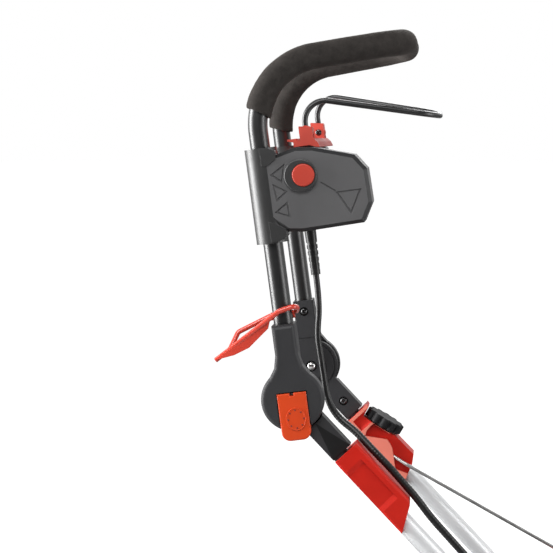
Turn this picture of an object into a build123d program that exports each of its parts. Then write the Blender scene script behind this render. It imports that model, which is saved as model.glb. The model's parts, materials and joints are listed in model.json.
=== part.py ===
"""Corded rotary push mower with a tilting, latched upper handle. Millimetres, +X forward, +Y left, +Z up.

The origin lies on the ground below the middle of the machine. Sizes of the handle are given in its own
leaning frame (x forward, z up along the legs), those of the lower frame in a frame that falls forward.
"""
import os
from math import cos, radians, sin, tan

from build123d import *

os.makedirs("parts", exist_ok=True)

# --- Driving dimensions ---------------------------------------------------------------------------------
HUB_X, HUB_Z = -320, 620       # tilt axis of the handle
LEG_Y = 170                    # half the distance between the two handle legs
LEAN = 7.6                     # handle legs lean back from vertical, degrees
FALL = 43.4                    # lower frame leans from vertical, degrees
TUBE_R, TUBE_WALL = 12.5, 1.5  # handle and frame tubes
RUNNING = 0.05                 # radial clearance of a turning fit
SLIP = 0.3                     # clearance between parts that pass each other

# Handle bow
LEG_START = 46
BOW_TOP = 422.4
BOW_R = 86.3
BOW_STRAIGHT = 60.4
BOW_CORNER_R = 62.9
BOW_IN = 11                    # each side of the bow turns in by this angle, degrees
BOW_RISE = 2.2                 # the bow's sides climb forward by this angle, degrees
GRIP_R = 17
GRIP_START_RIGHT, GRIP_START_LEFT = 16, 3  # where the foam starts on each bend, degrees of the bend
GRIP_SLANT = 15                # the foam's ends are cut aslant by this angle, degrees

# Switch box
SLEEVE_R = 20.5
SLEEVE_LOW, SLEEVE_HIGH = 199, 319
LEFT_SLEEVE_LOW = 245
BOX_FACE_Y, BOX_SPLIT_Y, BOX_BACK_Y = -189.5, -149, -112
BOX_WALL = 3
BOX_OUTLINE = [(2, 304.6), (44, 314.5), (66, 312), (117, 296), (130.5, 277),
               (131.5, 234), (118.5, 210.5), (42, 208.5), (23, 211), (2, 229.2)]
BUTTON_AT = (51, 279)
BUTTON_R = 14.1
BUTTON_TRAVEL = 4

# Bail
BAIL_PIVOT = (57, 332)
BAIL_Y = 130
BAIL_R = 3.75
CONSOLE_TOP = 315

# Tilt hub, measured outboard from the leg line
DISC_R = 38
COVER_R = 40
COVER_OUT = 24
PIVOT_R = 5

# Lower frame, along the tube from the hub
ARM_N, TUBE_N = -1.5, -6       # offsets of the arm's and the tube's axes from the hub
ARM_IN, ARM_WIDTH = -11.5, 29.5
RING_IN, RING_OUT, RING_DEPTH = 32.6, 34.2, 1.2   # groove round the arm's disc
ARM_END = 92
BRACKET_START, BRACKET_END = 95, 218
TUBE_END = 612

# Deck and wheels
DECK_REAR, DECK_FRONT = -10, 560
DECK_HALF, DECK_LOW, DECK_TOP = 175, 32, 150
DECK_WALL = 4
CHAMBER_X, CHAMBER_R = 265, 166
CHUTE_HALF, CHUTE_TOP = 120, 325
REAR_AXLE_X, REAR_R = 20, 90
FRONT_AXLE_X, FRONT_R = 455, 75
AXLE_R = 6
BLADE_R, BLADE_Z = 160, 60

# Grass box
BOX_REAR, BOX_FRONT = -560, -14
BOX_HALF, BOX_LOW, BOX_JOIN, BOX_HIGH = 145, 60, 235, 325
FLAP_X, FLAP_Z = 20, 331.5


# --- Frames and helpers ---------------------------------------------------------------------------------
def leaning(angle):
    """A frame at the hub whose z axis leans back by an angle."""
    tilt = radians(angle)
    return Plane(origin=(HUB_X, 0, HUB_Z), x_dir=(cos(tilt), 0, sin(tilt)), z_dir=(-sin(tilt), 0, cos(tilt)))


HANDLE = leaning(LEAN)
FRAME = leaning(FALL)
HUB_LEVEL = Plane(origin=(HUB_X, 0, HUB_Z))
BODY = Plane.XY
SIDES = {"right": -1, "left": 1}


def on(frame, plane):
    """A plane given in a frame, placed in the mower's own axes."""
    return Plane(frame.location * plane.location)


def slab(frame, y_a, y_b):
    """Side-view sketch plane (x, z of the frame) and the depth that fills y_a to y_b."""
    return on(frame, Plane.XZ.offset(-max(y_a, y_b))), abs(y_b - y_a)


def hub_slab(frame, side, inner, outer):
    """A slab between two distances outboard of one leg line."""
    return slab(frame, side * (LEG_Y + inner), side * (LEG_Y + outer))


def save(piece, label):
    piece.part.label = label
    export_step(piece.part, f"parts/{label}.step")


def swept(frame, points, radii, radius, bore=0):
    """A round rod or tube along straight runs joined by arcs."""
    with BuildPart() as piece:
        with BuildLine(frame) as path:
            FilletPolyline(*points, radius=radii)
        with BuildSketch(Plane(origin=path.line @ 0, z_dir=path.line % 0)):
            Circle(radius)
            if bore:
                Circle(bore, mode=Mode.SUBTRACT)
        sweep()
    return piece


def run_radii(points):
    """Each corner's arc: 0.45 of its shorter run over the tangent of half the turn."""
    radii = []
    for before, corner, after in zip(points, points[1:], points[2:]):
        a = Vector(*corner) - Vector(*before)
        b = Vector(*after) - Vector(*corner)
        radii.append(0.45 * min(a.length, b.length) / tan(radians(a.get_angle(b)) / 2))
    return radii


def bow_point(side, turn, slant=0):
    """Point and direction on a bend of the bow, given degrees along it and a slant added to the direction."""
    reach = BOW_R * (1 - cos(radians(turn)))
    rise = BOW_R * sin(radians(turn))
    inward = radians(BOW_IN)
    bend_start = BOW_TOP - BOW_R * tan(radians(90 - BOW_RISE) / 2)
    point = (reach * cos(inward), side * (LEG_Y - reach * sin(inward)), bend_start + rise)
    slope = radians(turn + slant)
    direction = (sin(slope) * cos(inward), -side * sin(slope) * sin(inward), cos(slope))
    return point, direction


# --- Upper handle ---------------------------------------------------------------------------------------
bow_reach = BOW_R + BOW_STRAIGHT + BOW_CORNER_R * tan(radians(90 - BOW_IN) / 2)
bow_x = bow_reach * cos(radians(BOW_IN))
bow_y = LEG_Y - bow_reach * sin(radians(BOW_IN))
bow_front = BOW_TOP + bow_reach * tan(radians(BOW_RISE))
bow_corners = [(0, -LEG_Y, BOW_TOP), (bow_x, -bow_y, bow_front), (bow_x, bow_y, bow_front),
               (0, LEG_Y, BOW_TOP)]
bow_radii = [BOW_R, BOW_CORNER_R, BOW_CORNER_R, BOW_R]

handle_tube = swept(HANDLE, [(0, -LEG_Y, LEG_START), *bow_corners, (0, LEG_Y, LEG_START)], bow_radii,
                    TUBE_R, TUBE_R - TUBE_WALL)
save(handle_tube, "handle_tube")

grip_low = BOW_TOP - BOW_R - 12
grip_bar = swept(HANDLE, [(0, -LEG_Y, grip_low), *bow_corners, (0, LEG_Y, grip_low)], bow_radii,
                 GRIP_R, TUBE_R + RUNNING)
with BuildPart() as foam_grip:
    add(grip_bar.part)
    for side, turn in ((-1, GRIP_START_RIGHT), (1, GRIP_START_LEFT)):
        point, direction = bow_point(side, turn, GRIP_SLANT)
        split(bisect_by=on(HANDLE, Plane(origin=point, z_dir=direction)), keep=Keep.TOP)
save(foam_grip, "foam_grip")

# --- Switch box on the right leg ------------------------------------------------------------------------
TRIANGLES = [[(28, 294), (11, 284), (23, 274)],
             [(12, 271), (27, 261), (14, 252)],
             [(26, 247), (11, 237), (27, 230)],
             [(90, 252), (119, 252), (104, 225)]]
GROOVE_WIDTH, GROOVE_DEPTH = 2, 1.2
CAVITY_START = 24              # the cavity starts clear of the sleeve


with BuildSketch() as box_cavity:  # the box outline less its walls, from the sleeve forward
    with BuildLine():
        Polyline(*BOX_OUTLINE, close=True)
    make_face()
    offset(amount=-BOX_WALL, mode=Mode.REPLACE)
    with Locations((0, 260)):
        Rectangle(2 * CAVITY_START, 160, mode=Mode.SUBTRACT)


with BuildPart() as switch_box_outer:
    plane, depth = slab(HANDLE, BOX_FACE_Y, BOX_SPLIT_Y)
    with BuildSketch(plane):
        with BuildLine():
            Polyline(*BOX_OUTLINE, close=True)
        make_face()
    extrude(amount=depth)
    face_edges = faces().sort_by(Axis.Y)[0].edges()
    chamfer(face_edges, 4.5)
    with BuildSketch(on(HANDLE, Plane.XY.offset(SLEEVE_LOW))):
        with Locations((0, -LEG_Y)):
            Circle(SLEEVE_R)
    extrude(amount=SLEEVE_HIGH - SLEEVE_LOW)
    for lug in ([(0, 296), (0, 318.5), (12, 317.5), (20, 313.5), (18.5, 303), (7, 296)],
                [(0, 200), (14, 201.5), (21, 206), (20, 215), (7, 224), (0, 226)]):
        plane, depth = slab(HANDLE, BOX_FACE_Y - 1.5, BOX_SPLIT_Y - 1)
        with BuildSketch(plane):
            with BuildLine():
                Polyline(*lug, close=True)
            make_face()
            fillet(vertices().group_by(Axis.X)[-1], 2.5)
        extrude(amount=depth)
    plane, depth = slab(HANDLE, BOX_FACE_Y + BOX_WALL, BOX_SPLIT_Y)
    with BuildSketch(plane):
        add(box_cavity.sketch)
    extrude(amount=depth, mode=Mode.SUBTRACT)
    with BuildSketch(on(HANDLE, Plane.XY.offset(SLEEVE_LOW))):
        with Locations((0, -LEG_Y)):
            Circle(TUBE_R)
    extrude(amount=SLEEVE_HIGH - SLEEVE_LOW, mode=Mode.SUBTRACT)
    plane, depth = slab(HANDLE, BOX_FACE_Y - 1, BOX_FACE_Y + BOX_WALL)
    with BuildSketch(plane):
        with Locations(BUTTON_AT):
            Circle(BUTTON_R + 0.5)
    extrude(amount=depth, mode=Mode.SUBTRACT)
    for outline in TRIANGLES:
        with BuildSketch(on(HANDLE, Plane.XZ.offset(-BOX_FACE_Y))):
            with BuildLine():
                Polyline(*outline, close=True)
            trace(line_width=GROOVE_WIDTH)
        extrude(amount=-GROOVE_DEPTH, mode=Mode.SUBTRACT)
    with BuildSketch(on(HANDLE, Plane.XZ.offset(-BOX_FACE_Y))):
        with BuildLine():
            Line((71, 267), (88, 254))
        trace(line_width=GROOVE_WIDTH)
    extrude(amount=-GROOVE_DEPTH, mode=Mode.SUBTRACT)
save(switch_box_outer, "switch_box_outer")

BOOT_AT = (46, -135)
BOOT_TOP_R, BOOT_LOW_R, BOOT_HIGH, BOOT_LOW = 7.5, 6, 214, 150
SWITCH_POST_R = 8
with BuildPart() as switch_box_inner:
    plane, depth = slab(HANDLE, BOX_SPLIT_Y, BOX_BACK_Y)
    with BuildSketch(plane):
        with BuildLine():
            Polyline(*BOX_OUTLINE, close=True)
        make_face()
    extrude(amount=depth)
    chamfer(faces().sort_by(Axis.Y)[-1].edges(), 3)
    plane, depth = slab(HANDLE, BOX_SPLIT_Y, BOX_BACK_Y - BOX_WALL)
    with BuildSketch(plane):
        add(box_cavity.sketch)
    extrude(amount=depth, mode=Mode.SUBTRACT)
    plane, depth = slab(HANDLE, BOX_SPLIT_Y, BOX_BACK_Y - BOX_WALL)
    with BuildSketch(plane):
        with Locations(BUTTON_AT):
            Circle(SWITCH_POST_R)
    extrude(amount=depth)
    with BuildSketch(on(HANDLE, Plane.XY.offset(BOOT_HIGH - 8))):
        with Locations(BOOT_AT):
            Circle(BOOT_TOP_R)
    extrude(amount=9, mode=Mode.SUBTRACT)
save(switch_box_inner, "switch_box_inner")

BEZEL_R, BEZEL_SHIFT = 20.5, 3.7    # the ring is thicker behind the button
with BuildPart() as button_bezel:
    with BuildSketch(on(HANDLE, Plane.XZ.offset(-BOX_FACE_Y))):
        with Locations((BUTTON_AT[0] - BEZEL_SHIFT, BUTTON_AT[1])):
            Circle(BEZEL_R)
        with Locations(BUTTON_AT):
            Circle(BUTTON_R + 0.5, mode=Mode.SUBTRACT)
    extrude(amount=5)
    outer_rim = faces().sort_by(Axis.Y)[0].edges().sort_by(SortBy.LENGTH)[-1]
    fillet(outer_rim, 1.4)
save(button_bezel, "button_bezel")

FLANGE_Y = BOX_FACE_Y + BOX_WALL + 0.2
STEM_END_Y = -166
BUTTON_FACE_Y = BOX_FACE_Y - 7
with BuildPart() as start_button:
    for radius, y_a, y_b in ((BUTTON_R, BUTTON_FACE_Y, FLANGE_Y), (BUTTON_R + 2, FLANGE_Y, FLANGE_Y + 2),
                             (4.5, FLANGE_Y + 2, STEM_END_Y)):
        plane, depth = slab(HANDLE, y_a, y_b)
        with BuildSketch(plane):
            with Locations(BUTTON_AT):
                Circle(radius)
        extrude(amount=depth)
    fillet(faces().sort_by(Axis.Y)[0].edges(), 1.6)
save(start_button, "start_button")

SWITCH_Y = -161.5
with BuildPart() as microswitch:
    plane, depth = slab(HANDLE, SWITCH_Y, BOX_SPLIT_Y)
    with BuildSketch(plane):
        with Locations(BUTTON_AT):
            Rectangle(28, 20)
    extrude(amount=depth)
    chamfer(edges().filter_by(Plane.XZ), 0.8)
save(microswitch, "microswitch")

SPRING_R, SPRING_WIRE, SPRING_TURNS = 7.5, 0.7, 5
spring_low, spring_high = FLANGE_Y + 2, SWITCH_Y
spring_base = HANDLE.from_local_coords((BUTTON_AT[0], spring_low + 1.1 * SPRING_WIRE, BUTTON_AT[1]))
spring_height = spring_high - spring_low - 2.2 * SPRING_WIRE
with BuildPart() as button_spring:
    with BuildLine() as coil:
        Helix(pitch=spring_height / SPRING_TURNS, height=spring_height, radius=SPRING_R,
              center=spring_base, direction=(0, 1, 0))
    with BuildSketch(Plane(origin=coil.line @ 0, z_dir=coil.line % 0)):
        Circle(SPRING_WIRE)
    sweep(is_frenet=True)
save(button_spring, "button_spring")

with BuildPart() as cable_boot:
    with BuildSketch(on(HANDLE, Plane(origin=(*BOOT_AT, 0), x_dir=(1, 0, 0), z_dir=(0, -1, 0)))):
        with BuildLine():
            Polyline((0, BOOT_LOW), (BOOT_LOW_R, BOOT_LOW), (BOOT_TOP_R, BOOT_HIGH - 10),
                     (BOOT_TOP_R, BOOT_HIGH), (0, BOOT_HIGH), close=True)
        make_face()
        for step in range(5):
            with Locations((BOOT_TOP_R, 158 + 8 * step)):
                Rectangle(3.2, 3, mode=Mode.SUBTRACT)
    revolve(axis=Axis(HANDLE.from_local_coords((*BOOT_AT, 0)), HANDLE.z_dir))
save(cable_boot, "cable_boot")

BEAM = [(30, 293), (28, 311), (32, CONSOLE_TOP), (60, CONSOLE_TOP), (64, 308), (60, 293)]
with BuildPart() as console_bridge:
    plane, depth = slab(HANDLE, BOX_BACK_Y, LEG_Y - 14)
    with BuildSketch(plane):
        with BuildLine():
            Polyline(*BEAM, close=True)
        make_face()
    extrude(amount=depth)
    with BuildSketch(on(HANDLE, Plane.XY.offset(LEFT_SLEEVE_LOW))):
        with Locations((0, LEG_Y)):
            Circle(SLEEVE_R)
    extrude(amount=SLEEVE_HIGH - LEFT_SLEEVE_LOW)
    plane, depth = slab(HANDLE, LEG_Y - 14, LEG_Y + 14)
    with BuildSketch(plane):
        with BuildLine():
            Polyline((0, 286), (0, 312), (28, 314), (60, CONSOLE_TOP), (64, 308), (60, 293), (24, 288),
                     close=True)
        make_face()
    extrude(amount=depth)
    plane, depth = slab(HANDLE, BOX_BACK_Y + BOX_WALL, LEG_Y - 18)
    with BuildSketch(plane):
        with Locations((46, 298)):
            Rectangle(26, 24)
    extrude(amount=depth, mode=Mode.SUBTRACT)
    with BuildSketch(on(HANDLE, Plane.XY.offset(LEFT_SLEEVE_LOW - 1))):
        with Locations((0, LEG_Y)):
            Circle(TUBE_R)
    extrude(amount=SLEEVE_HIGH - LEFT_SLEEVE_LOW + 2, mode=Mode.SUBTRACT)
save(console_bridge, "console_bridge")

# --- Bail and its carrier -------------------------------------------------------------------------------
BLOCK_IN, BLOCK_OUT = 119, 141
EAR_IN, EAR_OUT = 109, 117
CHEEK_IN, CHEEK_OUT = 141.5, 145.5
BLOCK_FOOT_R = 8.5
BAIL_SHAFT_R = 3
CARRIER_TOP, CHEEK_DROP = 323, 1
# Each side's block in the side view: back and front, and the heights of its top at the back and front.
BLOCKS = {-1: (49, 66, 340.5, 338), 1: (47, 64.5, 347, 344)}
CARRIER_OUTLINE = [(40, CONSOLE_TOP), (40, 321), (33, 323.2), (32.5, 325.5), (44, 325.5), (44, CARRIER_TOP),
                   (66, CARRIER_TOP), (70.5, 318), (73, 311.5), (71.5, 311), (66, 312.7), (60, CONSOLE_TOP)]
with BuildPart() as bail_carrier:
    plane, depth = slab(HANDLE, -CHEEK_OUT, CHEEK_OUT)
    with BuildSketch(plane):
        with BuildLine():
            Polyline(*CARRIER_OUTLINE, close=True)
        make_face()
    extrude(amount=depth)
    for side, (back, front, high_back, high_front) in BLOCKS.items():
        for y_in, y_out in ((EAR_IN, EAR_OUT), (CHEEK_IN, CHEEK_OUT)):
            plane, depth = slab(HANDLE, side * y_in, side * y_out)
            with BuildSketch(plane):
                with BuildLine():
                    Polyline((back, CARRIER_TOP - 2), (back, high_back - CHEEK_DROP),
                             (front, high_front - CHEEK_DROP), (front, CARRIER_TOP - 2), close=True)
                make_face()
            extrude(amount=depth)
        plane, depth = slab(HANDLE, side * (EAR_IN - 1), side * (CHEEK_OUT - 1.8))
        with BuildSketch(plane):
            with Locations(BAIL_PIVOT):
                Circle(BAIL_SHAFT_R + RUNNING)
        extrude(amount=depth, mode=Mode.SUBTRACT)
save(bail_carrier, "bail_carrier")

with BuildPart() as bail_blocks:
    for side, (back, front, high_back, high_front) in BLOCKS.items():
        plane, depth = slab(HANDLE, side * BLOCK_IN, side * BLOCK_OUT)
        with BuildSketch(plane):
            with BuildLine():
                Polyline((back, BAIL_PIVOT[1]), (back, high_back), (front, high_front),
                         (front, BAIL_PIVOT[1]), close=True)
            make_face()
            with Locations(BAIL_PIVOT):
                Circle(BLOCK_FOOT_R)
                Circle(BAIL_SHAFT_R, mode=Mode.SUBTRACT)
        extrude(amount=depth)
    with BuildSketch(on(HANDLE, Plane.XY.offset(336))):
        with Locations((BAIL_PIVOT[0], -BAIL_Y), (BAIL_PIVOT[0], BAIL_Y)):
            Circle(BAIL_R)
    extrude(amount=12, mode=Mode.SUBTRACT)
save(bail_blocks, "bail_blocks")

BAIL_FRONT, BAIL_FRONT_HALF = 228.5, 105
BAIL_KNEES, BAIL_FRONT_Z = (377, 387), (330.3, 336)    # right side, left side
bail_rod = swept(HANDLE, [(BAIL_PIVOT[0], -BAIL_Y, 336), (BAIL_PIVOT[0], -BAIL_Y, BAIL_KNEES[0]),
                          (BAIL_FRONT, -BAIL_FRONT_HALF, BAIL_FRONT_Z[0]),
                          (BAIL_FRONT, BAIL_FRONT_HALF, BAIL_FRONT_Z[1]),
                          (BAIL_PIVOT[0], BAIL_Y, BAIL_KNEES[1]), (BAIL_PIVOT[0], BAIL_Y, 336)],
                 [26, 34, 34, 26], BAIL_R)
save(bail_rod, "bail_rod")

with BuildPart() as bail_shaft:
    for side in SIDES.values():
        plane, depth = slab(HANDLE, side * (EAR_IN + 0.5), side * (CHEEK_OUT - 2))
        with BuildSketch(plane):
            with Locations(BAIL_PIVOT):
                Circle(BAIL_SHAFT_R)
        extrude(amount=depth)
save(bail_shaft, "bail_shaft")

# --- Cord hook on the right leg -------------------------------------------------------------------------
HOOK_R = 3.25
hook_rod = swept(HANDLE, [(17.5, -LEG_Y + 4, 109), (22, -LEG_Y - 14, 118), (-2, -LEG_Y - 18.5, 113.5),
                          (-91, -LEG_Y - 12, 61)], [9, 14], HOOK_R)
hook_back = swept(HANDLE, [(-15.5, -LEG_Y + 7, 107), (-59, -LEG_Y - 1, 92), (-70, -LEG_Y - 13.5, 74)],
                  [7], HOOK_R)
with BuildPart() as cord_hook:
    add(hook_rod.part)
    add(hook_back.part)
    plane, depth = slab(HANDLE, -LEG_Y - 17, -LEG_Y - 13.6)
    with BuildSketch(plane):
        with BuildLine():
            Polyline((-14, 107), (-19, 93), (-46, 72), (-66, 65), (-88, 62), close=True)
        make_face()
        fillet(vertices().group_by(Axis.X)[-1], 2)
    extrude(amount=depth)
    with BuildSketch(on(HANDLE, Plane.XY.offset(101))):
        with Locations((0, -LEG_Y)):
            Circle(TUBE_R + 3.2)
            Circle(TUBE_R, mode=Mode.SUBTRACT)
        with Locations((0, -LEG_Y - 10)):
            Rectangle(40, 26, mode=Mode.SUBTRACT)
    extrude(amount=10)
save(cord_hook, "cord_hook")

# --- Tilt hubs ------------------------------------------------------------------------------------------
FORK_TOP, FORK_HALF = 95.5, 14.5
SCREW_UP, SCREW_DOWN = 80, 69      # heights of the fork's screw above and the arm's screw below the hub
LEVER_TOP, LEVER_BOTTOM, LEVER_HALF = 9.4, -51, 18.5
LEVER_PIN = (4, COVER_OUT - 3)     # height and outboard distance of the lever's hinge
LEVER_IN, LEVER_OUT = 16, 25
RECESS_FLOOR = 13.4
PIVOT_HEAD_R, PIVOT_HEAD = 8, 2
PLATE_IN, PLATE_STEP_IN, PLATE_STEP = -18, -19.2, 42   # the fork's inner face steps in above a height
POCKET_R, POCKET = 8, 2            # sunk seat of the pivot bolt's inner end
SCREW_POCKET_R, SCREW_POCKET = 6.5, 2.5
SCREW_R, SHANK_R, SOCKET_R = 4.5, 2.2, 2.2
RATCHET_R, RATCHET_TEETH = 30, 24


for name, side in SIDES.items():
    with BuildPart() as hub_cover:
        plane, depth = hub_slab(HANDLE, side, 1.5, COVER_OUT)
        with BuildSketch(plane):
            Circle(COVER_R)
        extrude(amount=depth)
        plane, depth = hub_slab(HANDLE, side, 0, COVER_OUT)
        with BuildSketch(plane):
            with BuildLine():
                Polyline((-26, 30), (-18, 42), (-FORK_HALF, 58), (-FORK_HALF, FORK_TOP),
                         (FORK_HALF, FORK_TOP), (FORK_HALF, 58), (18, 42), (26, 30), close=True)
            make_face()
            Circle(COVER_R - 0.5, mode=Mode.SUBTRACT)
        extrude(amount=depth)
        outer_faces = faces().filter_by(Axis.Y).sort_by(Axis.Y)
        rims = (outer_faces[0] if side < 0 else outer_faces[-1]).edges()
        fillet(rims, 5.5)
        with BuildSketch(on(HANDLE, Plane.XY.offset(LEG_START - 1))):
            with Locations((0, side * LEG_Y)):
                Circle(TUBE_R)
        extrude(amount=FORK_TOP - LEG_START + 2, mode=Mode.SUBTRACT)
        plane, depth = hub_slab(HANDLE, side, RECESS_FLOOR, COVER_OUT + 1)
        with BuildSketch(plane):
            with Locations((0, (LEVER_TOP + 1.2 - COVER_R - 2) / 2)):
                Rectangle(2 * LEVER_HALF + 2, LEVER_TOP + 1.2 + COVER_R + 2)
        extrude(amount=depth, mode=Mode.SUBTRACT)
        plane, depth = hub_slab(HANDLE, side, 1.5, 6.5)
        with BuildSketch(plane):
            Circle(RATCHET_R + 3)
        extrude(amount=depth, mode=Mode.SUBTRACT)
        plane, depth = hub_slab(HANDLE, side, 0, COVER_OUT)
        with BuildSketch(plane):
            Circle(PIVOT_R)
        extrude(amount=depth, mode=Mode.SUBTRACT)
        plane, depth = hub_slab(HANDLE, side, RECESS_FLOOR - PIVOT_HEAD, COVER_OUT)
        with BuildSketch(plane):
            Circle(PIVOT_HEAD_R)
        extrude(amount=depth, mode=Mode.SUBTRACT)
        with BuildSketch(on(HANDLE, Plane.YZ.offset(-30))):
            with Locations((side * (LEG_Y + LEVER_PIN[1]), LEVER_PIN[0])):
                Circle(1.5)
        extrude(amount=60, mode=Mode.SUBTRACT)
    save(hub_cover, f"hub_cover_{name}")

    with BuildPart() as fork_plate:
        plane, depth = hub_slab(HANDLE, side, PLATE_IN, -12)
        with BuildSketch(plane):
            with BuildLine():
                Polyline((-14, 10), (-FORK_HALF, 58), (-FORK_HALF, FORK_TOP),
                         (FORK_HALF, FORK_TOP), (FORK_HALF, 58), (14, 10), close=True)
            make_face()
            Circle(20)
        extrude(amount=depth)
        plane, depth = hub_slab(HANDLE, side, PLATE_STEP_IN, PLATE_IN)
        with BuildSketch(plane):
            with Locations((0, (PLATE_STEP + FORK_TOP) / 2)):
                Rectangle(2 * FORK_HALF - 2, FORK_TOP - PLATE_STEP)
        extrude(amount=depth)
        plane, depth = hub_slab(HANDLE, side, -13, 0)
        with BuildSketch(plane):
            with Locations((0, (44 + FORK_TOP) / 2)):
                Rectangle(2 * FORK_HALF, FORK_TOP - 44)
        extrude(amount=depth)
        with BuildSketch(on(HANDLE, Plane.XY.offset(LEG_START - 4))):
            with Locations((0, side * LEG_Y)):
                Circle(TUBE_R)
        extrude(amount=FORK_TOP - LEG_START + 6, mode=Mode.SUBTRACT)
        for height, radius, inner, outer in (
                (0, PIVOT_R, PLATE_IN, -12), (0, POCKET_R, PLATE_IN, PLATE_IN + POCKET),
                (SCREW_UP, SCREW_POCKET_R, PLATE_STEP_IN, PLATE_STEP_IN + SCREW_POCKET),
                (SCREW_UP, SHANK_R, PLATE_STEP_IN, -TUBE_R - 0.6)):
            plane, depth = hub_slab(HANDLE, side, inner, outer)
            with BuildSketch(plane):
                with Locations((0, height)):
                    Circle(radius)
            extrude(amount=depth, mode=Mode.SUBTRACT)
    save(fork_plate, f"fork_plate_{name}")

    with BuildPart() as latch_lever:
        plane, depth = hub_slab(HANDLE, side, LEVER_IN, LEVER_OUT)
        lever_round = 11
        with BuildSketch(plane):
            with Locations((0, (LEVER_TOP + LEVER_BOTTOM) / 2)):
                Rectangle(2 * LEVER_HALF, LEVER_TOP - LEVER_BOTTOM)
            fillet(vertices().group_by(Axis.Y)[0], lever_round)
            with Locations((0, LEVER_TOP)):
                Rectangle(5, 7, mode=Mode.SUBTRACT)
        extrude(amount=depth)
        outer_faces = faces().filter_by(Axis.Y).sort_by(Axis.Y)
        chamfer((outer_faces[0] if side < 0 else outer_faces[-1]).edges(), 1)
        with BuildSketch(on(HANDLE, Plane.YZ.offset(-30))):
            with Locations((side * (LEG_Y + LEVER_PIN[1]), LEVER_PIN[0])):
                Circle(1.5 + RUNNING)
        extrude(amount=60, mode=Mode.SUBTRACT)
    save(latch_lever, f"latch_lever_{name}")

    with BuildPart() as arm:
        plane, depth = hub_slab(FRAME, side, ARM_IN, 1)
        with BuildSketch(plane):
            Circle(DISC_R)
            with Locations((ARM_N, -(ARM_END + 20) / 2)):
                Rectangle(ARM_WIDTH, ARM_END - 20)
            Circle(PIVOT_R + RUNNING, mode=Mode.SUBTRACT)
        extrude(amount=depth)
        plane, depth = hub_slab(FRAME, side, ARM_IN, ARM_IN + RING_DEPTH)
        with BuildSketch(plane):
            Circle(RING_OUT)
            Circle(RING_IN, mode=Mode.SUBTRACT)
        extrude(amount=depth, mode=Mode.SUBTRACT)
        plane, depth = hub_slab(FRAME, side, ARM_IN, -ARM_IN)
        with BuildSketch(plane):
            with Locations((ARM_N, -(ARM_END + 30) / 2)):
                Rectangle(ARM_WIDTH, ARM_END - 30)
            Circle(COVER_R + 2, mode=Mode.SUBTRACT)
        extrude(amount=depth)
        with BuildSketch(on(FRAME, Plane.XY.offset(-ARM_END))):
            with Locations((TUBE_N, side * LEG_Y)):
                Circle(TUBE_R - TUBE_WALL - 0.1)
        extrude(amount=-100)
        for radius, deep in ((SCREW_POCKET_R, SCREW_POCKET), (SHANK_R, 10)):
            plane, depth = hub_slab(FRAME, side, ARM_IN, ARM_IN + deep)
            with BuildSketch(plane):
                with Locations((ARM_N, -SCREW_DOWN)):
                    Circle(radius)
            extrude(amount=depth, mode=Mode.SUBTRACT)
    save(arm, f"arm_{name}")

with BuildPart() as pivot_bolts:
    for side in SIDES.values():
        for radius, inner, outer in ((PIVOT_R, PLATE_IN + POCKET, RECESS_FLOOR - PIVOT_HEAD),
                                     (PIVOT_HEAD_R, RECESS_FLOOR - PIVOT_HEAD, RECESS_FLOOR),
                                     (PIVOT_R + 0.8, PLATE_IN - 0.8, PLATE_IN + POCKET)):
            plane, depth = hub_slab(HANDLE, side, inner, outer)
            with BuildSketch(plane):
                Circle(radius)
            extrude(amount=depth)
save(pivot_bolts, "pivot_bolts")


def pocket_screws(frame, face, at, length):
    """One socket-headed screw sunk in each side's inner face."""
    with BuildPart() as screws:
        for side in SIDES.values():
            floor = face + SCREW_POCKET
            for radius, inner, outer in ((SCREW_R, face + 0.3, floor), (SHANK_R, floor, face + length)):
                plane, depth = hub_slab(frame, side, inner, outer)
                with BuildSketch(plane):
                    with Locations(at):
                        Circle(radius)
                extrude(amount=depth)
            plane, depth = hub_slab(frame, side, face, floor - 0.6)
            with BuildSketch(plane):
                with Locations(at):
                    RegularPolygon(SOCKET_R, 6)
            extrude(amount=depth, mode=Mode.SUBTRACT)
    return screws


save(pocket_screws(HANDLE, PLATE_STEP_IN, (0, SCREW_UP), -TUBE_R - 0.6 - PLATE_STEP_IN), "fork_screws")
save(pocket_screws(FRAME, ARM_IN, (ARM_N, -SCREW_DOWN), 9), "arm_screws")

with BuildPart() as latch_pins:
    for side in SIDES.values():
        with BuildSketch(on(HANDLE, Plane.YZ.offset(-27))):
            with Locations((side * (LEG_Y + LEVER_PIN[1]), LEVER_PIN[0])):
                Circle(1.5)
        extrude(amount=54)
save(latch_pins, "latch_pins")

with BuildPart() as toothed_discs:
    for side in SIDES.values():
        plane, depth = hub_slab(FRAME, side, 1, 5)
        with BuildSketch(plane):
            Circle(RATCHET_R - 3)
            with PolarLocations(RATCHET_R - 3, RATCHET_TEETH):
                Rectangle(6, 3.6)
            Circle(PIVOT_R + 1, mode=Mode.SUBTRACT)
        extrude(amount=depth)
save(toothed_discs, "toothed_discs")

# --- Lower frame ----------------------------------------------------------------------------------------
STAY_Y, STAY_R = 146, 2.5
stay_rod = swept(HUB_LEVEL, [(109, 154.5, -124.6), (120, 154.5, -130.6), (138, STAY_Y + 1, -140.5),
                             (620, STAY_Y, -407), (640, STAY_Y, -430), (640, STAY_Y, -470)], [8, 8, 14, 14],
                 STAY_R)
save(stay_rod, "stay_rod")

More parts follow.
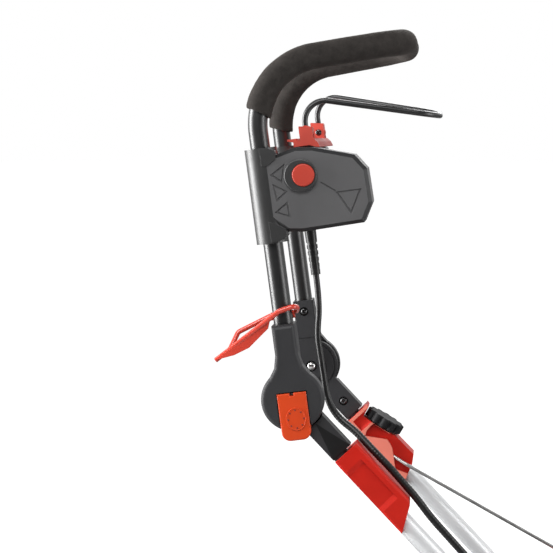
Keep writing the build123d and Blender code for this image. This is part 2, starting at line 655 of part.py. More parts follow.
BRACKET_OUT = 20
RIGHT_OUTLINE = [(-15.5, -BRACKET_START), (21, -BRACKET_START), (21, -192), (17, -198),
                 (-15.5, -BRACKET_END)]
LEFT_OUTLINE = [(-19.5, -BRACKET_START), (21, -BRACKET_START), (20, -99.5), (5, -104), (8.3, -118),
                (17.3, -151), (19.5, -159), (20.3, -194), (9.3, -203), (-2.4, -208), (-19.5, -215)]
OUTER_POCKET = [(1, -110.2), (-2.5, -120), (-2.5, -174), (1, -183.8)]   # outboard of the face, along
POCKET_FROM, POCKET_WIDTH = -20, 32
KNOB_WELL = [(-12, -126.5), (-5, -122.5), (4, -121.5), (9, -122), (16.5, -150.5), (8.3, -152.5)]
INNER_STEP = [(8, -150), (6.5, -160), (4.4, -166.4), (-12.9, -191.3), (-4, -209), (9.3, -206),
              (24, -196), (22, -147)]
INNER_DEPTH = 6
HOLLOW_R, HOLLOW_Y, HOLLOW_ALONG = 16, LEG_Y - 33, 109
KNOB_TILT = radians(16)
KNOB = on(FRAME, Plane(origin=(14.25, LEG_Y, -133), x_dir=(0, 1, 0),
                       z_dir=(cos(KNOB_TILT), 0, sin(KNOB_TILT))))
KNOB_THICK, KNOB_BOLT_R = 14, 4
WASHER_R, WASHER = 12, 1
SEAT_R, SEAT = 11, 1.2
for name, side in SIDES.items():
    with BuildPart() as lower_tube:
        with BuildSketch(on(FRAME, Plane.XY.offset(-(BRACKET_START + 8)))):
            with Locations((TUBE_N, side * LEG_Y)):
                Circle(TUBE_R)
                Circle(TUBE_R - TUBE_WALL, mode=Mode.SUBTRACT)
        extrude(amount=-(TUBE_END - BRACKET_START - 8))
    save(lower_tube, f"lower_tube_{name}")

    with BuildPart() as bracket:
        plane, depth = hub_slab(FRAME, side, -BRACKET_OUT, BRACKET_OUT)
        with BuildSketch(plane):
            with BuildLine():
                Polyline(*(RIGHT_OUTLINE if side < 0 else LEFT_OUTLINE), close=True)
            make_face()
        extrude(amount=depth)
        chamfer(edges().filter_by(lambda e: e.length > 90 and abs(e.center().Y) > LEG_Y + 10), 3)
        with BuildSketch(on(FRAME, Plane.YZ.offset(POCKET_FROM))):
            with BuildLine():
                Polyline(*[(side * (LEG_Y + BRACKET_OUT + out), z) for out, z in OUTER_POCKET], close=True)
            make_face()
        extrude(amount=POCKET_WIDTH, mode=Mode.SUBTRACT)
        if side > 0:
            for outline in (KNOB_WELL, INNER_STEP):
                plane, depth = hub_slab(FRAME, side, -BRACKET_OUT - 1, -BRACKET_OUT + INNER_DEPTH)
                with BuildSketch(plane):
                    with BuildLine():
                        Polyline(*outline, close=True)
                    make_face()
                extrude(amount=depth, mode=Mode.SUBTRACT)
            with BuildSketch(on(FRAME, Plane.YZ.offset(-11))):
                with Locations((HOLLOW_Y, -HOLLOW_ALONG)):
                    Circle(HOLLOW_R)
            extrude(amount=35, mode=Mode.SUBTRACT)
            with BuildSketch(KNOB.offset(-SEAT)):
                Circle(SEAT_R)
            extrude(amount=-6)
            with BuildSketch(KNOB.offset(-20)):
                Circle(KNOB_BOLT_R + RUNNING)
            extrude(amount=30, mode=Mode.SUBTRACT)
            add(stay_rod.part, mode=Mode.SUBTRACT)
        with BuildSketch(on(FRAME, Plane.XY.offset(-BRACKET_START))):
            with Locations((TUBE_N, side * LEG_Y)):
                Circle(TUBE_R)
        extrude(amount=-140, mode=Mode.SUBTRACT)
    save(bracket, f"bracket_{name}")

KNOB_R, KNOB_LOBES, LOBE_R = 24.5, 12, 5
KNOB_BORE = 10
with BuildPart() as knob:
    with BuildSketch(KNOB.offset(SLIP)):
        Circle(KNOB_R)
        with PolarLocations(KNOB_R - 0.5, KNOB_LOBES):
            Circle(LOBE_R)
    extrude(amount=KNOB_THICK)
    chamfer(faces().sort_by(SortBy.AREA)[-2:].edges(), 1.4)
    with BuildSketch(KNOB.offset(SLIP)):
        Circle(KNOB_BOLT_R)
    extrude(amount=KNOB_BORE, mode=Mode.SUBTRACT)
save(knob, "knob")

with BuildPart() as knob_bolt:
    with BuildSketch(KNOB.offset(-6.2)):
        Circle(KNOB_BOLT_R)
    extrude(amount=KNOB_BORE + 6.2 + SLIP)
    with BuildSketch(KNOB.offset(-WASHER)):
        Circle(WASHER_R)
    extrude(amount=WASHER)
save(knob_bolt, "knob_bolt")

# --- Power cable, held from the switch box to the motor cover ------------------------------------------
CABLE_R = 4.5
boot_run = [HANDLE.from_local_coords((*BOOT_AT, z)) - Vector(HUB_X, 0, HUB_Z) for z in (BOOT_LOW, 112)]
cable_points = [*[tuple(point) for point in boot_run], (27.5, -136.5, 78), (31.8, -137.5, 52),
                (36, -138, 25), (41, -138.5, -7), (54.5, -140, -29), (78.5, -150, -45.3),
                (97.5, -163, -63.5), (123, -168, -88.5), (137, -168, -104.5), (156, -168, -126),
                (175, -168, -151.5), (199, -167, -178), (240, -164, -224), (283, -154, -269),
                (325, -145, -312), (367, -142, -352), (406, -141, -384), (446, -137, -404),
                (484, -128, -413), (516, -113, -416)]
cable_radii = run_radii(cable_points)
print("cable radii", [round(r) for r in cable_radii])
power_cable = swept(HUB_LEVEL, cable_points, cable_radii, CABLE_R)
save(power_cable, "power_cable")

# --- Deck -----------------------------------------------------------------------------------------------
SOCKET_X, SOCKET_TOP = 96, 214
FLAP_EAR_IN, FLAP_EAR_OUT = 126, 134
DECK_MID = (DECK_REAR + DECK_FRONT) / 2
deck_length = DECK_FRONT - DECK_REAR


def deck_block(shrink, low, high, round_over):
    """Rounded block with the deck's plan, drawn in by a wall."""
    with BuildPart() as block:
        with BuildSketch(Plane.XY.offset(low)):
            with Locations((DECK_MID, 0)):
                Rectangle(deck_length - 2 * shrink, 2 * (DECK_HALF - shrink))
            fillet(vertices().group_by(Axis.X)[-1], 110 - shrink)
            fillet(vertices().group_by(Axis.X)[0], 30 - shrink)
        extrude(amount=high - low)
        fillet(faces().sort_by(Axis.Z)[-1].edges(), round_over)
    return block.part


CHUTE = [(DECK_REAR, 60), (DECK_REAR, DECK_TOP), (123, DECK_TOP), (150, 60)]
CHUTE_INSIDE = [(DECK_REAR - 1, 64), (DECK_REAR - 1, DECK_TOP + 1), (116.5, DECK_TOP + 1),
                (119, DECK_TOP - DECK_WALL), (150, DECK_TOP - DECK_WALL), (150, 64)]
with BuildPart() as deck:
    add(deck_block(0, DECK_LOW, DECK_TOP, 22))
    add(deck_block(DECK_WALL, DECK_LOW - 1, DECK_TOP - DECK_WALL, 22 - DECK_WALL), mode=Mode.SUBTRACT)
    with BuildSketch(Plane.XY.offset(DECK_LOW + 14)):
        with Locations((CHAMBER_X, 0)):
            Circle(CHAMBER_R + DECK_WALL)
    extrude(amount=DECK_TOP - DECK_LOW - 20)
    with BuildSketch(Plane.XY.offset(DECK_LOW)):
        with Locations((CHAMBER_X, 0)):
            Circle(CHAMBER_R)
    extrude(amount=DECK_TOP - DECK_LOW - DECK_WALL, mode=Mode.SUBTRACT)
    plane, depth = slab(BODY, -CHUTE_HALF - DECK_WALL, CHUTE_HALF + DECK_WALL)
    with BuildSketch(plane):
        with BuildLine():
            Polyline(*CHUTE, close=True)
        make_face()
    extrude(amount=depth)
    for side in SIDES.values():
        with BuildSketch(Plane.XY.offset(DECK_TOP - 10)):
            with Locations((SOCKET_X, side * 168)):
                Rectangle(64, 38)
        extrude(amount=SOCKET_TOP - DECK_TOP + 10, taper=3)
        for x, z in ((REAR_AXLE_X, REAR_R), (FRONT_AXLE_X, FRONT_R)):
            plane, depth = slab(BODY, side * 132, side * (DECK_HALF + 6))
            with BuildSketch(plane):
                with Locations((x, z)):
                    Circle(22)
            extrude(amount=depth)
    plane, depth = slab(BODY, -CHUTE_HALF, CHUTE_HALF)
    with BuildSketch(plane):
        with BuildLine():
            Polyline(*CHUTE_INSIDE, close=True)
        make_face()
    extrude(amount=depth, mode=Mode.SUBTRACT)
    with BuildSketch(Plane.XY.offset(DECK_LOW)):
        with Locations((CHAMBER_X, 0)):
            Circle(CHAMBER_R)
    extrude(amount=DECK_TOP - DECK_LOW - DECK_WALL, mode=Mode.SUBTRACT)
    with BuildSketch(Plane.XY.offset(DECK_TOP - DECK_WALL - 1)):
        with Locations((CHAMBER_X, 0)):
            Circle(14)
    extrude(amount=DECK_WALL + 2, mode=Mode.SUBTRACT)
    for side in SIDES.values():
        with BuildSketch(on(FRAME, Plane.XY.offset(-540))):
            with Locations((TUBE_N, side * LEG_Y)):
                Circle(TUBE_R)
        extrude(amount=-(TUBE_END - 540), mode=Mode.SUBTRACT)
        for x, z in ((REAR_AXLE_X, REAR_R), (FRONT_AXLE_X, FRONT_R)):
            plane, depth = slab(BODY, side * 140, side * (DECK_HALF + 7))
            with BuildSketch(plane):
                with Locations((x, z)):
                    Circle(AXLE_R)
            extrude(amount=depth, mode=Mode.SUBTRACT)
    with BuildSketch(Plane.XY.offset(DECK_TOP - 8)):
        with Locations((640 + HUB_X, STAY_Y)):
            Circle(STAY_R)
    extrude(amount=10, mode=Mode.SUBTRACT)
save(deck, "deck")

HOOD = [(DECK_REAR, DECK_TOP), (DECK_REAR, CHUTE_TOP), (34, CHUTE_TOP), (123, DECK_TOP)]
HOOD_INSIDE = [(DECK_REAR - 1, DECK_TOP - 1), (DECK_REAR - 1, CHUTE_TOP - DECK_WALL),
               (31, CHUTE_TOP - DECK_WALL), (117.5, DECK_TOP - 1)]
FOOT_IN, FOOT_OUT, FOOT_REAR, FOOT_FRONT, FOOT_THICK = CHUTE_HALF + 2, 136, 16, 116, 3
with BuildPart() as chute_hood:
    for outline, half, mode in ((HOOD, CHUTE_HALF + DECK_WALL, Mode.ADD),
                                (HOOD_INSIDE, CHUTE_HALF, Mode.SUBTRACT)):
        plane, depth = slab(BODY, -half, half)
        with BuildSketch(plane):
            with BuildLine():
                Polyline(*outline, close=True)
            make_face()
        extrude(amount=depth, mode=mode)
    for side in SIDES.values():
        plane, depth = slab(BODY, side * FOOT_IN, side * FOOT_OUT)
        with BuildSketch(plane):
            with Locations(((FOOT_REAR + FOOT_FRONT) / 2, DECK_TOP + FOOT_THICK / 2)):
                Rectangle(FOOT_FRONT - FOOT_REAR, FOOT_THICK)
        extrude(amount=depth)
        plane, depth = slab(BODY, side * (CHUTE_HALF + 2), side * FLAP_EAR_OUT)
        with BuildSketch(plane):
            with Locations((FLAP_X, CHUTE_TOP - 9)):
                Rectangle(15, 16)
        extrude(amount=depth)
        plane, depth = slab(BODY, side * FLAP_EAR_IN, side * FLAP_EAR_OUT)
        with BuildSketch(plane):
            with Locations((FLAP_X, FLAP_Z - 5)):
                Rectangle(15, 12)
            with Locations((FLAP_X, FLAP_Z)):
                Circle(7.5)
                Circle(2.5, mode=Mode.SUBTRACT)
        extrude(amount=depth)
save(chute_hood, "chute_hood")

# --- Motor and its cover --------------------------------------------------------------------------------
MOTOR_R, MOTOR_TOP = 56, 245
COVER_HALF_X, COVER_HALF_Y, COVER_HIGH = 148, 118, 300


def cover_block(shrink, round_over):
    """Tapered dome with the motor cover's plan, drawn in by a wall."""
    with BuildPart() as block:
        with BuildSketch(Plane.XY.offset(DECK_TOP)):
            with Locations((CHAMBER_X + 10, 0)):
                RectangleRounded(2 * (COVER_HALF_X - shrink), 2 * (COVER_HALF_Y - shrink), 80 - shrink)
        extrude(amount=COVER_HIGH - DECK_TOP - shrink, taper=12)
        fillet(faces().sort_by(Axis.Z)[-1].edges(), round_over)
    return block.part


gland_at = Vector(*cable_points[-1]) + Vector(HUB_X, 0, HUB_Z)
gland_heading = (Vector(*cable_points[-1]) - Vector(*cable_points[-2])).normalized()
with BuildPart() as cable_gland:
    with BuildSketch(Plane(origin=gland_at, z_dir=gland_heading)):
        Circle(9)
    extrude(amount=24)
save(cable_gland, "cable_gland")

with BuildPart() as motor_cover:
    add(cover_block(0, 22))
    add(cover_block(DECK_WALL, 22 - DECK_WALL), mode=Mode.SUBTRACT)
    for row in range(6):
        plane, depth = slab(BODY, -140, 140)
        with BuildSketch(plane):
            with Locations((CHAMBER_X - 20 + 22 * row, 205)):
                SlotOverall(44, 7, rotation=72)
        extrude(amount=depth, mode=Mode.SUBTRACT)
    add(cable_gland.part, mode=Mode.SUBTRACT)
save(motor_cover, "motor_cover")

with BuildPart() as motor:
    with BuildSketch(Plane.XY.offset(DECK_TOP)):
        with Locations((CHAMBER_X, 0)):
            Circle(MOTOR_R + 8)
            Circle(10, mode=Mode.SUBTRACT)
    extrude(amount=5)
    with BuildSketch(Plane.XY.offset(DECK_TOP + 5)):
        with Locations((CHAMBER_X, 0)):
            Circle(MOTOR_R)
            Circle(9 + RUNNING, mode=Mode.SUBTRACT)
    extrude(amount=MOTOR_TOP - DECK_TOP - 5)
save(motor, "motor")

with BuildPart() as motor_shaft:
    with BuildSketch(Plane.XY.offset(BLADE_Z + 4)):
        with Locations((CHAMBER_X, 0)):
            Circle(9)
    extrude(amount=268 - BLADE_Z - 4)
    with BuildSketch(Plane.XY.offset(BLADE_Z + 4)):
        with Locations((CHAMBER_X, 0)):
            Circle(26)
    extrude(amount=10)
save(motor_shaft, "motor_shaft")

with BuildPart() as fan:
    with BuildSketch(Plane.XY.offset(254)):
        with Locations((CHAMBER_X, 0)):
            Circle(46)
            Circle(9, mode=Mode.SUBTRACT)
    extrude(amount=2)
    with BuildSketch(Plane.XY.offset(256)):
        with Locations((CHAMBER_X, 0)):
            with PolarLocations(28, 9):
                Rectangle(34, 2.2, rotation=25)
    extrude(amount=12)
save(fan, "fan")

with BuildPart() as blade:
    with BuildSketch(Plane.XY.offset(BLADE_Z)):
        with Locations((CHAMBER_X, 0)):
            SlotOverall(2 * BLADE_R, 46, rotation=90)
            Circle(6, mode=Mode.SUBTRACT)
    extrude(amount=4)
    with BuildSketch(Plane.XY.offset(BLADE_Z + 4)):
        with Locations((CHAMBER_X - 17, BLADE_R - 50), (CHAMBER_X + 17, 50 - BLADE_R)):
            Rectangle(9, 50)
    extrude(amount=9, taper=20)
save(blade, "blade")

with BuildPart() as blade_bolt:
    with BuildSketch(Plane.XY.offset(BLADE_Z - 10)):
        with Locations((CHAMBER_X, 0)):
            RegularPolygon(11, 6)
    extrude(amount=10)
    with BuildSketch(Plane.XY.offset(BLADE_Z)):
        with Locations((CHAMBER_X, 0)):
            Circle(6)
    extrude(amount=4)
save(blade_bolt, "blade_bolt")

with BuildPart() as cable_clips:
    for along in (300, 380):
        with BuildSketch(on(FRAME, Plane.XY.offset(-along))):
            with Locations((TUBE_N, -LEG_Y)):
                Circle(TUBE_R + 3)
                Circle(TUBE_R, mode=Mode.SUBTRACT)
        extrude(amount=-12)
save(cable_clips, "cable_clips")

# --- Wheels and axles -----------------------------------------------------------------------------------
WHEELS = {"rear": (REAR_AXLE_X, REAR_R, 193, 38), "front": (FRONT_AXLE_X, FRONT_R, 187, 34)}
for end, (x, radius, inner, width) in WHEELS.items():
    with BuildPart() as axles:
        for side in SIDES.values():
            plane, depth = slab(BODY, side * 142, side * (inner + width - 3))
            with BuildSketch(plane):
                with Locations((x, radius)):
                    Circle(AXLE_R)
            extrude(amount=depth)
    save(axles, f"{end}_axles")
    for name, side in SIDES.items():
        with BuildPart() as tyre:
            plane, depth = slab(BODY, side * inner, side * (inner + width))
            with BuildSketch(plane):
                with Locations((x, radius)):
                    Circle(radius)
                    Circle(radius - 14, mode=Mode.SUBTRACT)
            extrude(amount=depth)
            chamfer(edges().filter_by(GeomType.CIRCLE).sort_by(SortBy.LENGTH)[-2:], 5)
        save(tyre, f"{end}_tyre_{name}")
        with BuildPart() as wheel:
            plane, depth = slab(BODY, side * (inner + 1), side * (inner + width - 2))
            with BuildSketch(plane):
                with Locations((x, radius)):
                    Circle(radius - 14)
                    Circle(radius - 20, mode=Mode.SUBTRACT)
                    Circle(18)
            extrude(amount=depth)
            plane, depth = slab(BODY, side * (inner + 6), side * (inner + width - 5))
            with BuildSketch(plane):
                with Locations((x, radius)):
                    Circle(radius - 17)
            extrude(amount=depth)
            plane, depth = slab(BODY, side * (inner - 1), side * (inner + width - 3))
            with BuildSketch(plane):
                with Locations((x, radius)):
                    Circle(AXLE_R + RUNNING)
            extrude(amount=depth, mode=Mode.SUBTRACT)
        save(wheel, f"{end}_wheel_{name}")

# --- Grass box and rear flap ----------------------------------------------------------------------------
box_length = BOX_FRONT - BOX_REAR
box_middle = (BOX_FRONT + BOX_REAR) / 2


def box_block(shrink, low, high, edge, round_over):
    """Block with the grass box's plan, rounded at the rear, open towards the deck."""
    with BuildPart() as block:
        with BuildSketch(Plane.XY.offset(low)):
            with Locations((box_middle + shrink / 2, 0)):
                Rectangle(box_length - shrink, 2 * (BOX_HALF - shrink))
            fillet(vertices().group_by(Axis.X)[0], 60 - shrink)
        extrude(amount=high - low)
        rim = faces().sort_by(Axis.Z)[edge].edges().filter_by(lambda e: e.center().X < BOX_FRONT - 1)
        fillet(rim, round_over)
    return block.part


with BuildPart() as grass_box:
    add(box_block(0, BOX_LOW, BOX_JOIN, 0, 18))
    add(box_block(BOX_WALL, BOX_LOW + BOX_WALL, BOX_JOIN + 1, 0, 18 - BOX_WALL), mode=Mode.SUBTRACT)
save(grass_box, "grass_box")

with BuildPart() as grass_box_lid:
    add(box_block(0, BOX_JOIN, BOX_HIGH, -1, 22))
    add(box_block(BOX_WALL, BOX_JOIN - 1, BOX_HIGH - BOX_WALL, -1, 22 - BOX_WALL), mode=Mode.SUBTRACT)
    for y in (-75, 75):
        with BuildSketch(Plane.XY.offset(BOX_HIGH + SLIP)):
            with Locations((-8, y)):
                Rectangle(30, 30)
        extrude(amount=2.6)
    for y in (-75, 75):
        with BuildSketch(Plane.XY.offset(BOX_HIGH - 3)):
            with Locations((-19, y)):
                Rectangle(8, 30)
        extrude(amount=4)
    plane, depth = slab(BODY, -12, 12)
    with BuildSketch(plane):
        with BuildLine():
            Polyline((-420, BOX_HIGH - 4), (-410, 338), (-250, 338), (-240, BOX_HIGH - 4),
                     (-252, BOX_HIGH - 4), (-258, 330), (-402, 330), (-408, BOX_HIGH - 4), close=True)
        make_face()
    extrude(amount=depth)
save(grass_box_lid, "grass_box_lid")

FLAP_LENGTH, FLAP_HALF = 150, 128
with BuildPart() as rear_flap:
    plane, depth = slab(BODY, -124, 124)
    with BuildSketch(plane):
        with Locations((FLAP_X, FLAP_Z)):
            Circle(4.5)
    extrude(amount=depth)
    with BuildSketch(Plane.XY.offset(FLAP_Z - 2.4)):
        with Locations((FLAP_X - FLAP_LENGTH / 2, 0)):
            Rectangle(FLAP_LENGTH, 248)
        with Locations((FLAP_X - 90, 0)):
            Rectangle(120, 2 * FLAP_HALF)
    extrude(amount=4)
    plane, depth = slab(BODY, -125, 125)
    with BuildSketch(plane):
        with Locations((FLAP_X, FLAP_Z)):
            Circle(2.5 + RUNNING)
    extrude(amount=depth, mode=Mode.SUBTRACT)
save(rear_flap, "rear_flap")

with BuildPart() as flap_pin:
    plane, depth = slab(BODY, -136, 136)
    with BuildSketch(plane):
        with Locations((FLAP_X, FLAP_Z)):
            Circle(2.5)
    extrude(amount=depth)
save(flap_pin, "flap_pin")
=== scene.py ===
"""Visual model of a corded push mower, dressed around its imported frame.

Everything is in metres, with +X forward, +Y left and +Z up.
"""

import json
from math import cos, pi, radians, sin, tan

import bmesh
import bpy
from mathutils import Matrix, Vector, noise


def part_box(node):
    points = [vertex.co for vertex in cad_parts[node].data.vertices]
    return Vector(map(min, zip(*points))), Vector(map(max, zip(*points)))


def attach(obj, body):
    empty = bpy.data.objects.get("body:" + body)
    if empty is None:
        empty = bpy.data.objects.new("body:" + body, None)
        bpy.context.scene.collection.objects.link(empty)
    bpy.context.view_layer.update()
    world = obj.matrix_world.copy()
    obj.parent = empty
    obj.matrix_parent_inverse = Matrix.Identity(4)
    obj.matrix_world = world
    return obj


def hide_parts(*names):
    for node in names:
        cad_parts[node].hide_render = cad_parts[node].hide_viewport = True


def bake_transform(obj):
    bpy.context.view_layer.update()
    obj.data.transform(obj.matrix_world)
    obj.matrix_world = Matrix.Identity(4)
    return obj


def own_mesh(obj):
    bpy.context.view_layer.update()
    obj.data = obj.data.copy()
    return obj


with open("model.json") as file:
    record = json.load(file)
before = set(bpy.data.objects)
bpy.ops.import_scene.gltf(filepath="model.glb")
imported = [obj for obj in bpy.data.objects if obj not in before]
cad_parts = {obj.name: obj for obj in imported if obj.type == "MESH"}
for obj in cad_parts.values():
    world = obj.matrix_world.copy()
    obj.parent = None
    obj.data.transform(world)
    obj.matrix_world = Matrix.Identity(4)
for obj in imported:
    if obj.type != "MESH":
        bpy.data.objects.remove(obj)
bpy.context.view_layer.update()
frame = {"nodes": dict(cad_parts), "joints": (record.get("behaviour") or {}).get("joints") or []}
nodes = frame["nodes"]
joints = {joint["name"]: joint for joint in frame["joints"]}

# --- Driving dimensions ---------------------------------------------------------------------------------
HUB = Vector(joints["handle_tilt"]["pos_m"])
LEG_Y = 0.170                  # leg line, each side of the middle
LEAN, FALL = 7.6, 43.4         # lean of the handle legs and of the lower frame, degrees
TUBE_R = 0.0125
BOW_TOP, BOW_R = 0.4224, 0.0863                # corner above each leg: height over the hub, and radius
BOW_STRAIGHT, BOW_CORNER_R = 0.0604, 0.0629    # straight run of each side, and radius of the front corners
BOW_IN, BOW_RISE = 11, 2.2     # the bow's sides turn inward and climb forward by these angles, degrees
GRIP_R = 0.017
GRIP_START = {-1: 16, 1: 3}    # where the foam starts on each bend, degrees of the bend
GRIP_SLANT = 15                # the foam's ends are cut aslant by this angle, degrees
SHARP_CAD, SHARP_PIECE = 28, 35                # edges from these angles on are shaded sharp, degrees


def leaning(angle):
    """Placement of a frame at the hub whose z axis leans back by an angle, in degrees."""
    return Matrix.Translation(HUB) @ Matrix.Rotation(radians(-angle), 4, "Y")


HANDLE = leaning(LEAN)
LOWER = leaning(FALL)
LEVEL = Matrix.Translation(HUB)
WORLD = Matrix.Identity(4)
SIDES = {"right": -1, "left": 1}

# --- Shader helpers -------------------------------------------------------------------------------------
made = {}


class Shader:
    """A Principled material with helpers that add procedural colour, roughness and relief."""

    def __init__(self, name, colour, roughness, **sockets):
        self.material = bpy.data.materials.new(name)
        self.material.use_nodes = True
        self.tree = self.material.node_tree
        self.principled = self.tree.nodes["Principled BSDF"]
        self.colour = colour
        self.set(self.principled, "Base Color", (*colour, 1))
        self.set(self.principled, "Roughness", roughness)
        for socket, value in sockets.items():
            self.set(self.principled, socket.replace("_", " "), value)
        self.place = self.node("ShaderNodeTexCoord").outputs["Object"]
        made[name] = self.material

    def set(self, node, socket, value):
        node.inputs[socket].default_value = value

    def node(self, kind, **attributes):
        new = self.tree.nodes.new(kind)
        for name, value in attributes.items():
            setattr(new, name, value)
        return new

    def link(self, output, target):
        self.tree.links.new(output, target)

    def stretched(self, scale, turn=(0, 0, 0)):
        """Object coordinates scaled along each axis, and turned."""
        mapping = self.node("ShaderNodeMapping")
        self.link(self.place, mapping.inputs["Vector"])
        self.set(mapping, "Rotation", turn)
        self.set(mapping, "Scale", scale)
        return mapping.outputs["Vector"]

    def noise(self, scale, detail=3, place=None, rough=0.55):
        texture = self.node("ShaderNodeTexNoise")
        self.link(place or self.place, texture.inputs["Vector"])
        self.set(texture, "Scale", scale)
        self.set(texture, "Detail", detail)
        self.set(texture, "Roughness", rough)
        return texture.outputs["Fac"]

    def cells(self, scale):
        texture = self.node("ShaderNodeTexVoronoi")
        self.link(self.place, texture.inputs["Vector"])
        self.set(texture, "Scale", scale)
        return texture.outputs["Distance"]

    def spread(self, value, low, high, first=0.3, last=0.7):
        """Maps a texture's middle range to low..high."""
        span = self.node("ShaderNodeMapRange")
        self.link(value, span.inputs["Value"])
        for socket, number in (("From Min", first), ("From Max", last), ("To Min", low), ("To Max", high)):
            self.set(span, socket, number)
        return span.outputs["Result"]

    def tint(self, value, dark, light):
        """Colours the surface between two colours by a texture."""
        mix = self.node("ShaderNodeMix", data_type="RGBA")
        self.link(value, mix.inputs["Factor"])
        mix.inputs["A"].default_value = (*dark, 1)
        mix.inputs["B"].default_value = (*light, 1)
        self.link(mix.outputs["Result"], self.principled.inputs["Base Color"])

    def drift(self, amount, scale=14):
        """Slow change of the colour over the surface."""
        dark = [c * (1 - amount) for c in self.colour]
        light = [min(1, c * (1 + amount)) for c in self.colour]
        self.tint(self.spread(self.noise(scale, 4), 0, 1), dark, light)

    def gloss(self, low, high, scale, place=None):
        """Slow change of the roughness over the surface."""
        self.link(self.spread(self.noise(scale, 4, place), low, high), self.principled.inputs["Roughness"])

    def relief(self, *layers, edge):
        """Stacked bumps, each (texture, strength, height in metres), over edges rounded by a radius.

        A radius of 0 leaves the edges as they are.
        """
        normal = None
        if edge:
            rounded = self.node("ShaderNodeBevel", samples=4)
            self.set(rounded, "Radius", edge)
            normal = rounded.outputs["Normal"]
        for texture, strength, height in layers:
            bump = self.node("ShaderNodeBump")
            self.set(bump, "Strength", strength)
            self.set(bump, "Distance", height)
            self.link(texture, bump.inputs["Height"])
            if normal:
                self.link(normal, bump.inputs["Normal"])
            normal = bump.outputs["Normal"]
        self.link(normal, self.principled.inputs["Normal"])


def moulded(name, colour, low, high, strength=0.25, **sockets):
    """Moulded plastic: fine erosion grain, slow colour and gloss change."""
    s = Shader(name, colour, (low + high) / 2, **sockets)
    s.drift(0.10)
    s.gloss(low, high, 45)
    s.relief((s.noise(60, 2), 0.12, 0.0006), (s.noise(1400, 3, rough=0.7), strength, 0.00012), edge=0.0009)


def metal(name, colour, low, high, along, strength=0.3):
    """Bright metal with drawing lines along one stretched direction."""
    s = Shader(name, colour, (low + high) / 2, Metallic=1.0)
    lines = s.noise(1, 5, s.stretched(along), rough=0.7)
    s.drift(0.05, 20)
    s.gloss(low, high, 1, s.stretched(along))
    s.relief((lines, strength, 0.00004), edge=0.0005)


# --- Materials ------------------------------------------------------------------------------------------
moulded("box_plastic", (0.088, 0.087, 0.089), 0.46, 0.56, Specular_IOR_Level=0.3)
moulded("sleeve_plastic", (0.004, 0.004, 0.0043), 0.42, 0.48, strength=0.06,
        Coat_Weight=1.0, Coat_Roughness=0.46)
# Darker colour for the bevel band round the switch box's face: painted shade on the bevel
moulded("box_bevel_painted_shade", (0.018, 0.018, 0.019), 0.36, 0.46, strength=0.1, Specular_IOR_Level=0.4)
moulded("hub_plastic", (0.030, 0.030, 0.032), 0.48, 0.58, Specular_IOR_Level=0.3)
moulded("red_bright", (0.58, 0.080, 0.058), 0.48, 0.58, strength=0.12, Specular_IOR_Level=0.15)
# Deeper red for the carrier foot's upward faces: painted shade that tones down the light falling on them
moulded("carrier_foot_painted_shade", (0.34, 0.030, 0.020), 0.5, 0.6, strength=0.12, Specular_IOR_Level=0.1)
moulded("button_red", (0.43, 0.045, 0.028), 0.38, 0.46, strength=0.1, Specular_IOR_Level=0.3)
moulded("lever_orange", (0.61, 0.055, 0.009), 0.40, 0.50, strength=0.12, Specular_IOR_Level=0.25)
moulded("hook_red", (0.60, 0.050, 0.028), 0.26, 0.34, strength=0.05, Coat_Weight=0.7, Coat_Roughness=0.14)
moulded("bracket_red", (0.49, 0.013, 0.006), 0.40, 0.50, strength=0.1, Specular_IOR_Level=0.2)
# Pale salmon for the left bracket's inner face: painted light, standing in for light falling on that face
moulded("bracket_painted_light", (0.74, 0.20, 0.145), 0.45, 0.55, strength=0.1, Specular_IOR_Level=0.25)
moulded("knob_plastic", (0.014, 0.014, 0.015), 0.62, 0.74, Specular_IOR_Level=0.2)
moulded("deck_red", (0.50, 0.016, 0.007), 0.30, 0.40, strength=0.1, Coat_Weight=0.25, Coat_Roughness=0.2)
moulded("cover_plastic", (0.022, 0.022, 0.024), 0.42, 0.54)
moulded("collector_plastic", (0.024, 0.024, 0.025), 0.46, 0.58)
moulded("collector_lid", (0.040, 0.040, 0.042), 0.44, 0.56)
moulded("wheel_plastic", (0.085, 0.085, 0.09), 0.42, 0.52)
# Near-black small parts; also the painted shade in the inner plates' screw pockets
moulded("small_black", (0.006, 0.006, 0.0065), 0.45, 0.55, Specular_IOR_Level=0.3)
moulded("lever_dots", (0.16, 0.008, 0.002), 0.5, 0.6)
moulded("zinc_can", (0.20, 0.20, 0.205), 0.3, 0.4, Metallic=0.6)
metal("zinc", (0.62, 0.62, 0.61), 0.28, 0.38, (60, 60, 60), strength=0.05)
metal("bolt_head", (0.78, 0.78, 0.77), 0.16, 0.26, (400, 400, 400), strength=0.05)
metal("blade_metal", (0.42, 0.42, 0.43), 0.3, 0.46, (900, 40, 900))
metal("black_screw", (0.10, 0.10, 0.102), 0.16, 0.24, (400, 400, 400), strength=0.05)


def enamel():
    """Black stove enamel on the handle tube and bail: faint orange peel under a clear gloss."""
    s = Shader("black_enamel", (0.004, 0.004, 0.0045), 0.40, Coat_Weight=0.65, Coat_Roughness=0.33)
    s.drift(0.15, 25)
    s.gloss(0.37, 0.43, 40)
    s.relief((s.noise(180, 2), 0.03, 0.0001), edge=0)


def anodised():
    """Satin anodised tube with faint drawing lines down its length."""
    s = Shader("satin_aluminium", (0.80, 0.81, 0.82), 0.46, Metallic=0.5)
    lines = s.noise(1, 5, s.stretched((6, 700, 700), (0, radians(90 - FALL), 0)), rough=0.7)
    s.drift(0.03, 12)
    s.link(s.spread(lines, 0.43, 0.48), s.principled.inputs["Roughness"])
    s.relief((lines, 0.04, 0.00002), edge=0)


